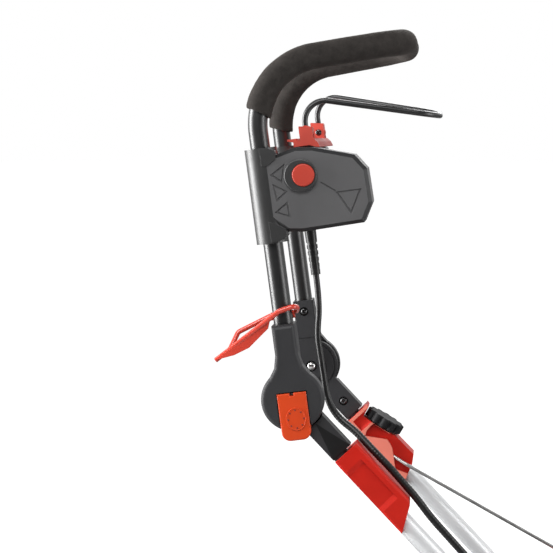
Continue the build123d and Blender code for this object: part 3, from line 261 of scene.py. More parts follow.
def foam():
    """Closed-cell foam: fine pitted skin, brown-black, mottled at two scales."""
    s = Shader("grip_foam", (0.030, 0.026, 0.024), 0.9, Specular_IOR_Level=0.2)
    s.set(s.principled, "Sheen Weight", 0.08)
    s.set(s.principled, "Sheen Roughness", 0.5)
    s.set(s.principled, "Sheen Tint", (0.75, 0.66, 0.6, 1))
    pits = s.cells(620)
    mottle = s.noise(95, 5, rough=0.7)
    s.tint(s.spread(mottle, 0, 1, 0.35, 0.65), (0.019, 0.0163, 0.0148), (0.034, 0.030, 0.0275))
    s.link(s.spread(mottle, 0.82, 0.97), s.principled.inputs["Roughness"])
    s.relief((mottle, 0.35, 0.0006), (pits, 0.5, 0.0004), edge=0.0012)


def rubber(name, colour, low, high, edge=0.0006):
    """Black rubber with a fine dull grain."""
    s = Shader(name, colour, (low + high) / 2)
    s.drift(0.12, 30)
    s.gloss(low, high, 50)
    s.relief((s.noise(900, 3), 0.15, 0.00015), edge=edge)


enamel()
anodised()
foam()
rubber("cable_rubber", (0.006, 0.006, 0.006), 0.34, 0.44)
rubber("tyre_rubber", (0.018, 0.018, 0.018), 0.62, 0.78, edge=0.001)

NODE_MATERIALS = {
    "black_enamel": ["handle_tube", "bail_rod"],
    "grip_foam": ["foam_grip"],
    "box_plastic": ["switch_box_outer", "switch_box_inner", "console_bridge"],
    "sleeve_plastic": ["button_bezel"],
    "hub_plastic": ["hub_cover_right", "hub_cover_left", "fork_plate_right", "fork_plate_left",
                    "arm_right", "arm_left"],
    "red_bright": ["bail_carrier", "bail_blocks"],
    "button_red": ["start_button"],
    "lever_orange": ["latch_lever_right", "latch_lever_left"],
    "hook_red": ["cord_hook"],
    "bracket_red": ["bracket_right", "bracket_left"],
    "satin_aluminium": ["lower_tube_right", "lower_tube_left"],
    "knob_plastic": ["knob"],
    "zinc": ["bail_shaft", "toothed_discs", "stay_rod", "knob_bolt", "flap_pin",
             "front_axles", "rear_axles", "motor_shaft", "button_spring"],
    "bolt_head": ["pivot_bolts"],
    "black_screw": ["latch_pins", "fork_screws", "arm_screws", "blade_bolt"],
    "cable_rubber": ["power_cable", "cable_boot", "cable_gland"],
    "small_black": ["cable_clips", "microswitch", "fan"],
    "deck_red": ["deck", "chute_hood"],
    "cover_plastic": ["motor_cover", "rear_flap"],
    "zinc_can": ["motor"],
    "blade_metal": ["blade"],
    "tyre_rubber": ["front_tyre_left", "front_tyre_right", "rear_tyre_left", "rear_tyre_right"],
    "wheel_plastic": ["front_wheel_left", "front_wheel_right", "rear_wheel_left", "rear_wheel_right"],
    "collector_plastic": ["grass_box"],
    "collector_lid": ["grass_box_lid"],
}


def shade(mesh, material_name, sharp):
    """Gives a mesh one material and smooth shading that breaks at sharp edges."""
    mesh.materials.clear()
    mesh.materials.append(made[material_name])
    mesh.polygons.foreach_set("use_smooth", [True] * len(mesh.polygons))
    mesh.set_sharp_from_angle(angle=radians(sharp))


def repaint(name, material_name, chosen, at=HANDLE):
    """Gives another material to the faces of a CAD node whose centre and normal, in a frame, are chosen."""
    mesh = nodes[name].data
    mesh.materials.append(made[material_name])
    into = at.inverted()
    turned = into.to_3x3()
    for polygon in mesh.polygons:
        if chosen(into @ polygon.center, turned @ polygon.normal):
            polygon.material_index = len(mesh.materials) - 1


SLEEVE_R = 0.0205              # console sleeve round each leg
BOX_FACE_Y = -0.1895           # outer face of the switch box
BOX_EDGE = 0.0045              # width of the bevel round that face
LUG_X = 0.022                  # the box's lugs lie behind this, below LUG_LOW and above LUG_HIGH
LUG_LOW, LUG_HIGH = 0.227, 0.295
FORK_SCREW, ARM_SCREW = (0, 0.080), (-0.0015, -0.069)
# Screw pockets of each inner plate, as (x, z, radius) in the plate's frame, painted near black as painted
# shade in the hollows
SHADED_POCKETS = {"fork_plate": ((0, 0, 0.0081), (*FORK_SCREW, 0.0066)), "arm": ((*ARM_SCREW, 0.0066),)}
FOOT_X, FOOT_Z = 0.066, 0.323  # from here the carrier curls down in front
BRACKET_IN = 0.150             # inner face of the left bracket


def paint_nodes():
    """Materials of the CAD nodes, with painted shade on the switch box's bevel, the screw pockets and the
    carrier's foot, and painted light on the left bracket's inner face. A small margin at each limit takes in
    the faces that lie on it.
    """
    for material_name, names in NODE_MATERIALS.items():
        for name in names:
            shade(nodes[name].data, material_name, SHARP_CAD)
    for name, side in (("switch_box_outer", -1), ("console_bridge", 1)):
        repaint(name, "sleeve_plastic",
                lambda p, n: (p.x ** 2 + (p.y - side * LEG_Y) ** 2) ** 0.5 < SLEEVE_R + 0.0003)
    repaint("switch_box_outer", "sleeve_plastic",
            lambda p, n: p.y < BOX_FACE_Y - 0.0004 and p.x < LUG_X and not LUG_LOW <= p.z <= LUG_HIGH)
    # The bevel band round the box face gets the darker colour, as painted shade
    repaint("switch_box_outer", "box_bevel_painted_shade",
            lambda p, n: (p.x > LUG_X and BOX_FACE_Y + 0.001 < p.y < BOX_FACE_Y + BOX_EDGE
                          and 0.5 < -n.y < 0.9))
    # Screw pockets in the inner plates get the near-black plastic: painted shade in the hollows
    for name in SIDES:
        for kind, at in (("fork_plate", HANDLE), ("arm", LOWER)):
            repaint(f"{kind}_{name}", "small_black",
                    lambda p, n: any((p.x - x) ** 2 + (p.z - z) ** 2 < r ** 2
                                     for x, z, r in SHADED_POCKETS[kind]), at)
    # Upward faces of the carrier's curled foot get the deeper red, as painted shade
    repaint("bail_carrier", "carrier_foot_painted_shade", lambda p, n: p.x > FOOT_X and n.z > 0.3 and p.z < FOOT_Z)
    # The left bracket's inward-facing inner face gets the pale colour, as painted light
    repaint("bracket_left", "bracket_painted_light", lambda p, n: n.y < -0.95 and p.y < BRACKET_IN + 0.001, LOWER)


# --- Mesh helpers ---------------------------------------------------------------------------------------
def added(name, data):
    """A new object in the scene."""
    thing = bpy.data.objects.new(name, data)
    bpy.context.scene.collection.objects.link(thing)
    return thing


def piece(name, mesh, material, body, at=WORLD):
    """Adds a mesh as a finished piece. It rides on a body, if one is given."""
    thing = added(name, mesh)
    mesh.transform(at)
    shade(mesh, material, SHARP_PIECE)
    if body:
        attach(thing, body)
    return thing


def from_bmesh(bm, name):
    """Turns a finished bmesh into a mesh whose faces point outward."""
    bmesh.ops.recalc_face_normals(bm, faces=bm.faces)
    mesh = bpy.data.meshes.new(name)
    bm.to_mesh(mesh)
    bm.free()
    return mesh


def bridge(bm, rings, around=True):
    """Joins each ring of vertices to the next with faces, where a ring may be one repeated vertex."""
    for lower, upper in zip(rings, rings[1:]):
        for index in range(len(lower) if around else len(lower) - 1):
            after = (index + 1) % len(lower)
            corners = dict.fromkeys((lower[index], lower[after], upper[after], upper[index]))
            bm.faces.new(list(corners))


def turns(sides):
    """Angles of the corners of a regular polygon."""
    return [2 * pi * side / sides for side in range(sides)]


def rounded_path(corners, radii, step):
    """Points along straight runs joined by arcs, about a step apart on the arcs."""
    points = [corners[0]]
    for before, corner, after, radius in zip(corners, corners[1:], corners[2:], radii):
        back = (before - corner).normalized()
        ahead = (after - corner).normalized()
        turn = pi - back.angle(ahead)
        middle = (back + ahead).normalized()
        centre = corner + middle * (radius / cos(turn / 2))
        first = corner + back * (radius * tan(turn / 2)) - centre
        axis = back.cross(ahead).normalized()
        count = max(2, int(radius * turn / step))
        for index in range(count + 1):
            points.append(centre + Matrix.Rotation(-turn * index / count, 3, axis) @ first)
    points.append(corners[-1])
    return points


def evenly(points, step):
    """The same line with points about a step apart."""
    spaced = [points[0]]
    for start, end in zip(points, points[1:]):
        count = max(1, round((end - start).length / step))
        spaced += [start.lerp(end, index / count) for index in range(1, count + 1)]
    return spaced


def tube_mesh(points, radius, sides, name):
    """A closed round tube along points. The radius may be a function of the distance along the line."""
    bm = bmesh.new()
    rings = []
    direction = (points[1] - points[0]).normalized()
    across = direction.orthogonal().normalized()
    travelled = 0
    for index, point in enumerate(points):
        ahead = points[min(index + 1, len(points) - 1)]
        behind = points[max(index - 1, 0)]
        new_direction = (ahead - behind).normalized()
        across.rotate(direction.rotation_difference(new_direction))
        across = (across - new_direction * across.dot(new_direction)).normalized()
        direction = new_direction
        up = direction.cross(across)
        if index:
            travelled += (point - points[index - 1]).length
        size = radius(travelled) if callable(radius) else radius
        rings.append([bm.verts.new(point + (across * cos(a) + up * sin(a)) * size) for a in turns(sides)])
    bridge(bm, rings)
    bm.faces.new(list(reversed(rings[0])))
    bm.faces.new(rings[-1])
    return from_bmesh(bm, name)


def turned_mesh(profile, sides, name):
    """A profile of (radius, height) points turned about the z axis. Radius 0 is a pole."""
    bm = bmesh.new()
    rings = []
    for radius, height in profile:
        if radius:
            rings.append([bm.verts.new((radius * cos(a), radius * sin(a), height)) for a in turns(sides)])
        else:
            rings.append([bm.verts.new((0, 0, height))] * sides)
    bridge(bm, rings)
    return from_bmesh(bm, name)


def blocks_mesh(places, edge, name):
    """Blocks with rounded edges, each (middle, size) or (middle, size, turn about y in degrees)."""
    bm = bmesh.new()
    for middle, size, *turn in places:
        place = (Matrix.Translation(middle) @ Matrix.Rotation(radians(turn[0] if turn else 0), 4, "Y")
                 @ Matrix.Diagonal((*size, 1)))
        bmesh.ops.create_cube(bm, size=1, matrix=place)
    bmesh.ops.bevel(bm, geom=bm.edges[:], offset=edge, segments=2, profile=0.5, affect="EDGES")
    return from_bmesh(bm, name)


def blocks(name, places, edge, material, body):
    """Adds a piece made of rounded blocks."""
    piece(name, blocks_mesh(places, edge, name), material, body)


def joined(meshes, name):
    """Several placed meshes as one. Each entry is (mesh, matrix)."""
    bm = bmesh.new()
    for mesh, place in meshes:
        part = mesh.copy()
        part.transform(place)
        bm.from_mesh(part)
        bpy.data.meshes.remove(part)
    return from_bmesh(bm, name)


def facing(at, direction):
    """Placement whose z axis points in a direction."""
    return Matrix.Translation(at) @ Vector(direction).to_track_quat("Z", "X").to_matrix().to_4x4()


CORNER_STEPS = 10
CORNER_POINTS = CORNER_STEPS + 1


def plan(x_low, x_high, half, front_r, rear_r):
    """Outline of a plan with rounded corners, as points from rear left round the front to rear right."""
    points = []
    for x, y, r, first in ((x_low, half, rear_r, 180), (x_high, half, front_r, 90),
                           (x_high, -half, front_r, 0), (x_low, -half, rear_r, -90)):
        centre = Vector((x + (r if x == x_low else -r), y - (r if y > 0 else -r)))
        points += [centre + Vector((cos(a), sin(a))) * r
                   for a in (radians(first - 90 * step / CORNER_STEPS) for step in range(CORNER_POINTS))]
    return points


def outset(points, distance, closed):
    """An outline moved outward by a distance."""
    moved = []
    last = len(points) - 1
    for index, point in enumerate(points):
        before = points[index - 1] if index or closed else point
        after = points[(index + 1) % len(points)] if index < last or closed else point
        along = (after - before).normalized()
        moved.append(point + Vector((-along.y, along.x)) * distance)
    return moved


def band_mesh(points, low, high, proud, name, closed=False):
    """Rounded strip that stands proud of an outline between two heights."""
    sunk, edge = -0.001, 0.0008
    section = [(sunk, low), (proud - edge, low), (proud, low + edge), (proud, high - edge),
               (proud - edge, high), (sunk, high)]
    bm = bmesh.new()
    rings = [[bm.verts.new((*q, z)) for q in outset(points, out, closed)] for out, z in section]
    bridge(bm, [*rings, rings[0]], closed)
    if not closed:
        for end in (0, -1):
            bm.faces.new([ring[end] for ring in rings])
    return from_bmesh(bm, name)


def plate_mesh(points, low, high, edge, name):
    """Flat plate with a rounded upper rim."""
    bm = bmesh.new()
    levels = [(0, low), (0, high - edge), (-edge * 0.3, high - edge * 0.3), (-edge, high)]
    rings = [[bm.verts.new((*q, z)) for q in outset(points, out, True)] for out, z in levels]
    bridge(bm, rings)
    bm.faces.new(rings[0])
    bm.faces.new(rings[-1])
    return from_bmesh(bm, name)


def screw_mesh(radius, height, name):
    """Domed screw head with a hexagon socket."""
    socket = radius * 0.48         # from the middle to a corner of the hexagon
    around = turns(24)
    bm = bmesh.new()
    levels = [(radius, 0), (radius, height * 0.45), (radius * 0.9, height * 0.8), (radius * 0.68, height)]
    rings = [[bm.verts.new((r * cos(a), r * sin(a), h)) for a in around] for r, h in levels]
    hexagon = [(a, socket * cos(pi / 6) / cos((a % (pi / 3)) - pi / 6)) for a in around]
    for depth in (height, height * 0.25):
        rings.append([bm.verts.new((r * cos(a), r * sin(a), depth)) for a, r in hexagon])
    bridge(bm, rings)
    bm.faces.new(rings[-1])
    bm.faces.new(list(reversed(rings[0])))
    return from_bmesh(bm, name)


# --- Foam grip ------------------------------------------------------------------------------------------
def bow_line(foot):
    """Centreline of the handle tube between two feet at the same height, in the handle's frame."""
    reach = BOW_R + BOW_STRAIGHT + BOW_CORNER_R * tan(radians(90 - BOW_IN) / 2)
    x = reach * cos(radians(BOW_IN))
    y = LEG_Y - reach * sin(radians(BOW_IN))
    front = BOW_TOP + reach * tan(radians(BOW_RISE))
    corners = [Vector(p) for p in ((0, -LEG_Y, foot), (0, -LEG_Y, BOW_TOP), (x, -y, front),
                                   (x, y, front), (0, LEG_Y, BOW_TOP), (0, LEG_Y, foot))]
    return rounded_path(corners, [BOW_R, BOW_CORNER_R, BOW_CORNER_R, BOW_R], 0.004)


def bend_start(side, turn):
    """Point on a bend of the bow given degrees along it, the bow's heading there, and the cut's."""
    inward = radians(BOW_IN)
    reach = BOW_R * (1 - cos(radians(turn)))
    foot = BOW_TOP - BOW_R * tan(radians(90 - BOW_RISE) / 2)
    point = Vector((reach * cos(inward), side * (LEG_Y - reach * sin(inward)),
                    foot + BOW_R * sin(radians(turn))))
    heading, cut = (Vector((sin(slope) * cos(inward), -side * sin(slope) * sin(inward), cos(slope)))
                    for slope in (radians(turn), radians(turn + GRIP_SLANT)))
    return point, heading, cut


SLANT_REACH = 0.03             # length of foam over which the slanted cut eases into square rings
GRIP_LIP = 0.003               # length over which the foam narrows at its ends
BEND_Y = 0.12                  # both ends of the foam lie further out than this


def foam_grip():
    """Foam sleeve over the bow: narrowed a little at its cut ends, with a faintly uneven skin."""
    starts = {side: bend_start(side, turn) for side, turn in GRIP_START.items()}
    inside = [p for p in evenly(bow_line(BOW_TOP - BOW_R - 0.01), 0.0025)
              if all((p - point).dot(heading) > 0.001 or p.y * side < BEND_Y
                     for side, (point, heading, cut) in starts.items())]
    line = [starts[-1][0], *inside, starts[1][0]]
    total = sum((b - a).length for a, b in zip(line, line[1:]))

    def radius(travelled):
        end = min(travelled, total - travelled)
        return GRIP_R * (1 - 0.06 * max(0, 1 - end / GRIP_LIP) ** 2)

    mesh = tube_mesh(line, radius, 56, "foam_grip_skin")
    for side, (point, heading, cut) in starts.items():
        for vertex in mesh.vertices:
            travel = (vertex.co - point).dot(heading)
            if vertex.co.y * side > BEND_Y and travel < SLANT_REACH:
                across = vertex.co - point - heading * travel
                ease = 1 - max(0, travel) / SLANT_REACH
                vertex.co -= heading * (across.dot(cut) / cut.dot(heading)) * ease
    for vertex in mesh.vertices:
        waver = noise.noise(vertex.co * 45) * 0.00035 + noise.noise(vertex.co * 260) * 0.00016
        vertex.co += vertex.normal * (waver - 0.0003)
    skin = piece("grip_foam_skin", mesh, "grip_foam", "handle", HANDLE)
    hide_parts("foam_grip")


# --- Bent rods ------------------------------------------------------------------------------------------
LEG_START = 0.046              # the handle tube's lower ends, above the hub
RODS = {  # node: body, slot, material, frame, radius, corners and their radii
    "handle_tube": ("handle", "black_tube", "black_enamel", HANDLE, TUBE_R, None, None),
    "bail_rod": ("bail", "black_tube", "black_enamel", HANDLE, 0.00375,
                 [(0.057, -0.130, 0.336), (0.057, -0.130, 0.377), (0.2285, -0.105, 0.3303),
                  (0.2285, 0.105, 0.336), (0.057, 0.130, 0.387), (0.057, 0.130, 0.336)],
                 [0.026, 0.034, 0.034, 0.026]),
    "stay_rod": ("chassis", "steel", "zinc", LEVEL, 0.0025,
                 [(0.109, 0.1545, -0.1246), (0.120, 0.1545, -0.1306), (0.138, 0.147, -0.1405),
                  (0.620, 0.146, -0.407), (0.640, 0.146, -0.430), (0.640, 0.146, -0.470)],
                 [0.008, 0.008, 0.014, 0.014]),
}


def bent_rods():
    """Smooth skins over the handle tube, the bail and the stay rod."""
    for node, (body, slot, material, at, radius, corners, radii) in RODS.items():
        if corners:
            line = evenly(rounded_path([Vector(corner) for corner in corners], radii, 0.0015), 0.006)
        else:
            line = evenly(bow_line(LEG_START), 0.008)
        name = f"{node}_skin"
        skin = piece(name, tube_mesh(line, radius, 40, name), material, body, at)
        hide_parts(node)


# --- Power cable ----------------------------------------------------------------------------------------
# The same route as the CAD cable's, from the hub
CABLE_ROUTE = [(0.0275, -0.1365, 0.078), (0.0318, -0.1375, 0.052), (0.036, -0.138, 0.025),
               (0.041, -0.1385, -0.007), (0.0545, -0.140, -0.029), (0.0785, -0.150, -0.0453),
               (0.0975, -0.163, -0.0635), (0.123, -0.168, -0.0885), (0.137, -0.168, -0.1045),
               (0.156, -0.168, -0.126), (0.175, -0.168, -0.1515), (0.199, -0.167, -0.178),
               (0.240, -0.164, -0.224), (0.283, -0.154, -0.269), (0.325, -0.145, -0.312),
               (0.367, -0.142, -0.352), (0.406, -0.141, -0.384), (0.446, -0.137, -0.404),
               (0.484, -0.128, -0.413), (0.516, -0.113, -0.416)]
CABLE_THIN, CABLE_THICK = 0.0039, 0.0048       # radii of the bare cable and of the ribbed hose round it
THICKENS = (0.13, 0.20)        # the cable goes into the hose between these distances from the boot
RIB_PITCH, RIB_DEPTH = 0.0042, 0.00014
BOOT_AXIS = (0.046, -0.135)
BOOT_LOW, BOOT_LEAD = 0.150, 0.112             # the boot's lower end, and how far the cable goes straight on


def smooth_line(points, name):
    """Points along a NURBS spline through a route's corners."""
    curve = bpy.data.curves.new(name, "CURVE")
    curve.dimensions = "3D"
    spline = curve.splines.new("NURBS")
    spline.points.add(len(points) - 1)
    for control, point in zip(spline.points, points):
        control.co = (*point, 1)
    spline.order_u = 3
    spline.use_endpoint_u = True
    spline.resolution_u = 12
    holder = bpy.data.objects.new(name, curve)
    mesh = bpy.data.meshes.new_from_object(holder)
    line = [vertex.co.copy() for vertex in mesh.vertices]
    bpy.data.objects.remove(holder)
    bpy.data.curves.remove(curve)
    bpy.data.meshes.remove(mesh)
    return line


def power_cable():
    """Cable from the boot under the switch box, past the hub and down the right tube to the motor cover."""
    boot_end = HANDLE @ Vector((*BOOT_AXIS, BOOT_LOW)) - HUB
    boot_lead = HANDLE @ Vector((*BOOT_AXIS, BOOT_LEAD)) - HUB
    line = smooth_line([boot_end, boot_lead, *[Vector(p) for p in CABLE_ROUTE]], "cable_line")

    def radius(travelled):
        share = min(1, max(0, (travelled - THICKENS[0]) / (THICKENS[1] - THICKENS[0])))
        rib = RIB_DEPTH * cos(2 * pi * travelled / RIB_PITCH) * share
        return CABLE_THIN + (CABLE_THICK - CABLE_THIN) * share + rib

    mesh = tube_mesh(evenly(line, RIB_PITCH / 4), radius, 20, "cable_skin")
    cable = piece("cable_run", mesh, "cable_rubber", None, LEVEL)
    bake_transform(cable)
    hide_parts("power_cable")


# --- Handle details -------------------------------------------------------------------------------------
LEVER_FACE = 0.025             # outboard distance of the lever's face from the leg line
PAD_X, PAD_Z, PAD_R, PAD_STRETCH = 0.002, -0.024, 0.0128, 1.16
PAD_HOLLOW, PAD_RIM = 0.0005, 0.0011           # heights of the pad's middle and rim over the lever
DOT_RING, DOT_R, DOTS = 0.0098, 0.0011, 8


def lever_pads():
    """Shallow thumb pad with a ring of dots on each tilt latch."""
    pad = turned_mesh([(0, PAD_HOLLOW), (PAD_R * 0.6, PAD_HOLLOW), (PAD_R * 0.88, PAD_HOLLOW),
                       (PAD_R * 0.92, PAD_RIM), (PAD_R * 0.97, PAD_RIM), (PAD_R, 0), (PAD_R, -0.0008),
                       (0, -0.0008)], 48, "pad")
    dot = turned_mesh([(0, 0.0007), (DOT_R * 0.6, 0.0005), (DOT_R, 0), (DOT_R, -0.0004),
                       (0, -0.0004)], 12, "dot")
    for name, side in SIDES.items():
        oval = Matrix.Diagonal((1, 1, PAD_STRETCH, 1))
        face = (HANDLE @ Matrix.Translation((PAD_X, side * (LEG_Y + LEVER_FACE), PAD_Z)) @ oval
                @ facing((0, 0, 0), (0, side, 0)))
        ring = [(dot, face @ Matrix.Translation((DOT_RING * cos(a), DOT_RING * sin(a), PAD_HOLLOW)))
                for a in turns(DOTS)]
        piece(f"latch_pad_{name}", joined([(pad, face)], "pad"), "lever_orange", f"latch_{name}")
        piece(f"latch_dots_{name}", joined(ring, "dots"), "lever_dots", f"latch_{name}")


BOX_BACK_Y = -0.112            # inner face of the switch box
BOX_SCREWS = [(0.030, 0.222), (0.080, 0.219), (0.122, 0.240), (0.118, 0.282), (0.072, 0.300)]


def box_screws():
    """Screws that hold the two halves of the switch box, on its inner face."""
    head = screw_mesh(0.0034, 0.0014, "box_screw")
    heads = [(head, HANDLE @ facing((x, BOX_BACK_Y, z), (0, 1, 0))) for x, z in BOX_SCREWS]
    piece("box_screws", joined(heads, "box_screws"), "black_screw", "handle")


SPRING_AT, SPRING_R, SPRING_WIRE = (0.051, 0.279), 0.0075, 0.0007
SPRING_TURNS, TURN_STEPS = 5, 36
SPRING_SPAN = (-0.1843, -0.1615)               # outer and inner ends of the spring, across the handle


def button_spring():
    """Return spring of the start button."""
    (x, z), (low, high) = SPRING_AT, SPRING_SPAN
    steps = SPRING_TURNS * TURN_STEPS
    first = low + 1.1 * SPRING_WIRE
    rise = (high - low - 2.2 * SPRING_WIRE) / steps
    line = []
    for index in range(steps + 1):
        a = 2 * pi * index / TURN_STEPS
        line.append(Vector((x + SPRING_R * cos(a), first + rise * index, z + SPRING_R * sin(a))))
    mesh = tube_mesh(line, SPRING_WIRE, 10, "spring_coil")
    coil = piece("spring_coil", mesh, "zinc", "handle", HANDLE)
    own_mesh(coil)
    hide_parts("button_spring")


BOLT_Y, FORK_Y, ARM_Y, EAR_Y = 0.1512, 0.1511, 0.1588, 0.109    # inner faces, outward from the middle
BAIL_SCREW = (0.057, 0.332)


def inner_screws():
    """Domed ends of the pivot bolts, and screws in the forks, the arms and the bail carrier's ears.

    All of them face inward.
    """
    dome = turned_mesh([(0.0054, -0.0004), (0.0054, 0.0003), (0.0050, 0.0010), (0.0040, 0.0017),
                        (0.0024, 0.0022), (0, 0.0024)], 32, "dome")
    head = screw_mesh(0.0043, 0.0017, "hub_screw")
    for name, side in SIDES.items():
        for label, mesh, at, (x, z), y, material, body, slot in (
                ("bolt_dome", dome, HANDLE, (0, 0), BOLT_Y, "bolt_head", "handle", "steel"),
                ("fork_screw", head, HANDLE, FORK_SCREW, FORK_Y, "black_screw", "handle", "black_steel"),
                ("arm_screw", head, LOWER, ARM_SCREW, ARM_Y, "black_screw", "chassis", "black_steel"),
                ("bail_screw", head, HANDLE, BAIL_SCREW, EAR_Y, "black_screw", "handle", "black_steel")):
            place = at @ facing((x, side * y, z), (0, -side, 0))
            piece(f"{label}_{name}", joined([(mesh, place)], label), material, body)


# --- Wheels ---------------------------------------------------------------------------------------------
TREAD_DEPTH, TREAD_PITCH, TREAD_STEPS = 0.0022, 0.016, 6
SHOULDER_Y = 0.004             # the grooves start this far from the tyre's middle
SHOULDER_FALL = 0.004          # and end this far below the top of the tread
CAP_SUNK, SPOKE_SUNK = 0.0022, 0.0075          # cap and spokes lie this far inside the wheel's width
SPOKE_IN, SPOKE_END = 0.0175, 0.0195           # distance of the spokes from the axis and from the tread


def tyre_mesh(radius, width, name):
    """Solid rubber tyre with offset tread blocks on its two shoulders and a plain rib between them."""
    half = width / 2
    flank = [(radius - 0.001, 0.0015), (radius, 0.0025), (radius, 0.0045), (radius, half - 0.005),
             (radius - 0.0035, half - 0.0012), (radius - 0.008, half), (radius - 0.014, half - 0.001)]
    outline = [(r, -y) for r, y in reversed(flank)] + flank
    sides = round(2 * pi * radius / TREAD_PITCH) * TREAD_STEPS
    bm = bmesh.new()
    rings = []
    for r, y in outline:
        shoulder = abs(y) > SHOULDER_Y and r > radius - SHOULDER_FALL
        shift = TREAD_STEPS // 2 if y > 0 else 0
        ring = []
        for side, a in enumerate(turns(sides)):
            cut = TREAD_DEPTH if shoulder and (side + shift) % TREAD_STEPS < 2 else 0
            ring.append(bm.verts.new(((r - cut) * cos(a), y, (r - cut) * sin(a))))
        rings.append(ring)
    bridge(bm, [*rings, rings[0]])
    return from_bmesh(bm, name)


def wheels():
    """Treaded tyres over the plain CAD ones, and a domed cap and spokes on each wheel."""
    cap = turned_mesh([(0, 0.0020), (0.008, 0.0018), (0.0145, 0.0010), (0.0165, 0), (0.0165, -0.002),
                       (0, -0.002)], 40, "cap")
    for end in ("front", "rear"):
        for name, side in SIDES.items():
            body = f"wheel_{end}_{name}"
            low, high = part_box(f"{end}_tyre_{name}")
            middle = (low + high) / 2
            radius, width = (high.z - low.z) / 2, high.y - low.y
            tyre = piece(f"{end}_tread_{name}", tyre_mesh(radius, width, "tyre"), "tyre_rubber",
                         body, Matrix.Translation(middle))
            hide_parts(f"{end}_tyre_{name}")
            hub = facing(middle + Vector((0, side * (width / 2 - CAP_SUNK), 0)), (0, side, 0))
            piece(f"{end}_cap_{name}", joined([(cap, hub)], "cap"), "deck_red", body)
            spoke_out = radius - SPOKE_END
            reach = (SPOKE_IN + spoke_out) / 2
            spokes = []
            for turn in range(30, 390, 60):
                at = Vector((reach * cos(radians(turn)), side * (width / 2 - SPOKE_SUNK),
                             reach * sin(radians(turn))))
                spokes.append((middle + at, (spoke_out - SPOKE_IN, 0.007, 0.004), -turn))
            blocks(f"{end}_spokes_{name}", spokes, 0.0008, "wheel_plastic", body)


# --- Deck, covers and grass box -------------------------------------------------------------------------
MOTOR_X = 0.275
DECK_HALF, DECK_TOP = 0.175, 0.150
STRIP_START = 0.060            # the bumper and the rim run from here round the front
# Outlines of the motor cover's foot and top panel, as plan() takes them
COVER_PLAN = (MOTOR_X - 0.148, MOTOR_X + 0.148, 0.118, 0.080, 0.080)
PANEL_PLAN = (MOTOR_X - 0.070, MOTOR_X + 0.070, 0.052, 0.030, 0.030)
PANEL_LOW, PANEL_HIGH = 0.2985, 0.3018
HOOD_SLOPE = -27               # lean of the chute hood, degrees


def deck_details():
    """Bumper, rim and ribs of the deck, ribs of the hood, and the cover's skirt, panel, grille and screws."""
    low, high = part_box("deck")
    outline = plan(low.x, high.x, DECK_HALF, 0.110, 0.030)
    strip = [Vector((STRIP_START, DECK_HALF)), *outline[CORNER_POINTS:3 * CORNER_POINTS],
             Vector((STRIP_START, -DECK_HALF))]
    bumper = band_mesh(strip, 0.036, 0.060, 0.0035, "bumper")
    piece("deck_bumper", bumper, "cover_plastic", "chassis")
    piece("deck_rim", band_mesh(strip, 0.100, 0.104, 0.0014, "rim"), "deck_red", "chassis")
    ribs = [((MOTOR_X, side * y, DECK_TOP), (0.30 - 0.03 * order, 0.006, 0.005))
            for side in SIDES.values() for order, y in enumerate((0.132, 0.146))]
    ribs += [((0.470 + 0.016 * order, 0, DECK_TOP), (0.006, 0.20 - 0.02 * order, 0.005))
             for order in range(3)]
    blocks("deck_ribs", ribs, 0.0016, "deck_red", "chassis")
    hood = [((0.0785, y, 0.2375), (0.0050, 0.010, 0.150), HOOD_SLOPE)
            for y in (-0.090, -0.054, -0.018, 0.018, 0.054, 0.090)]
    blocks("hood_ribs", hood, 0.0016, "deck_red", "chassis")

    skirt = band_mesh(plan(*COVER_PLAN), DECK_TOP + 0.0002, 0.157, 0.0030, "skirt", True)
    piece("cover_skirt", skirt, "cover_plastic", "chassis")
    panel = plate_mesh(plan(*PANEL_PLAN), PANEL_LOW, PANEL_HIGH, 0.0010, "panel")
    piece("cover_panel", panel, "deck_red", "chassis")
    grille = [((MOTOR_X + 0.0125 * step, 0, 0.3022), (0.0045, 0.074, 0.0020)) for step in range(-4, 5)]
    blocks("cover_grille", grille, 0.0007, "small_black", "chassis")
    head = screw_mesh(0.0042, 0.0020, "cover_screw")
    heads = [(head, facing((x, y, 0.2999), (0, 0, 1)))
             for x in (MOTOR_X - 0.085, MOTOR_X + 0.085) for y in (-0.046, 0.046)]
    heads += [(head, facing((0.096, side * 0.1848, 0.190), (0, side, 0.052))) for side in SIDES.values()]
    heads += [(head, facing((x, side * 0.129, 0.1530), (0, 0, 1)))
              for side in SIDES.values() for x in (0.03, 0.10)]
    piece("cover_screws", joined(heads, "cover_screws"), "black_screw", "chassis")


SEAM_LOW, SEAM_HIGH = 0.2305, 0.2395
BOX_RIBS, BOX_PITCH = 8, 0.056                 # ribs on each side of the grass box
REAR_RIBS, REAR_PITCH = 5, 0.038
RIB_MIDDLE, RIB_LENGTH = 0.152, 0.140
LOUVRES = [0.212 - 0.009 * row for row in range(5)]    # heights of the louvres between two ribs
LID_MIDDLE, LID_TOP = -0.335, 0.325
GRIP_MIDDLE, GRIP_TOP = -0.33, 0.338
FLAP_TOP = 0.3331


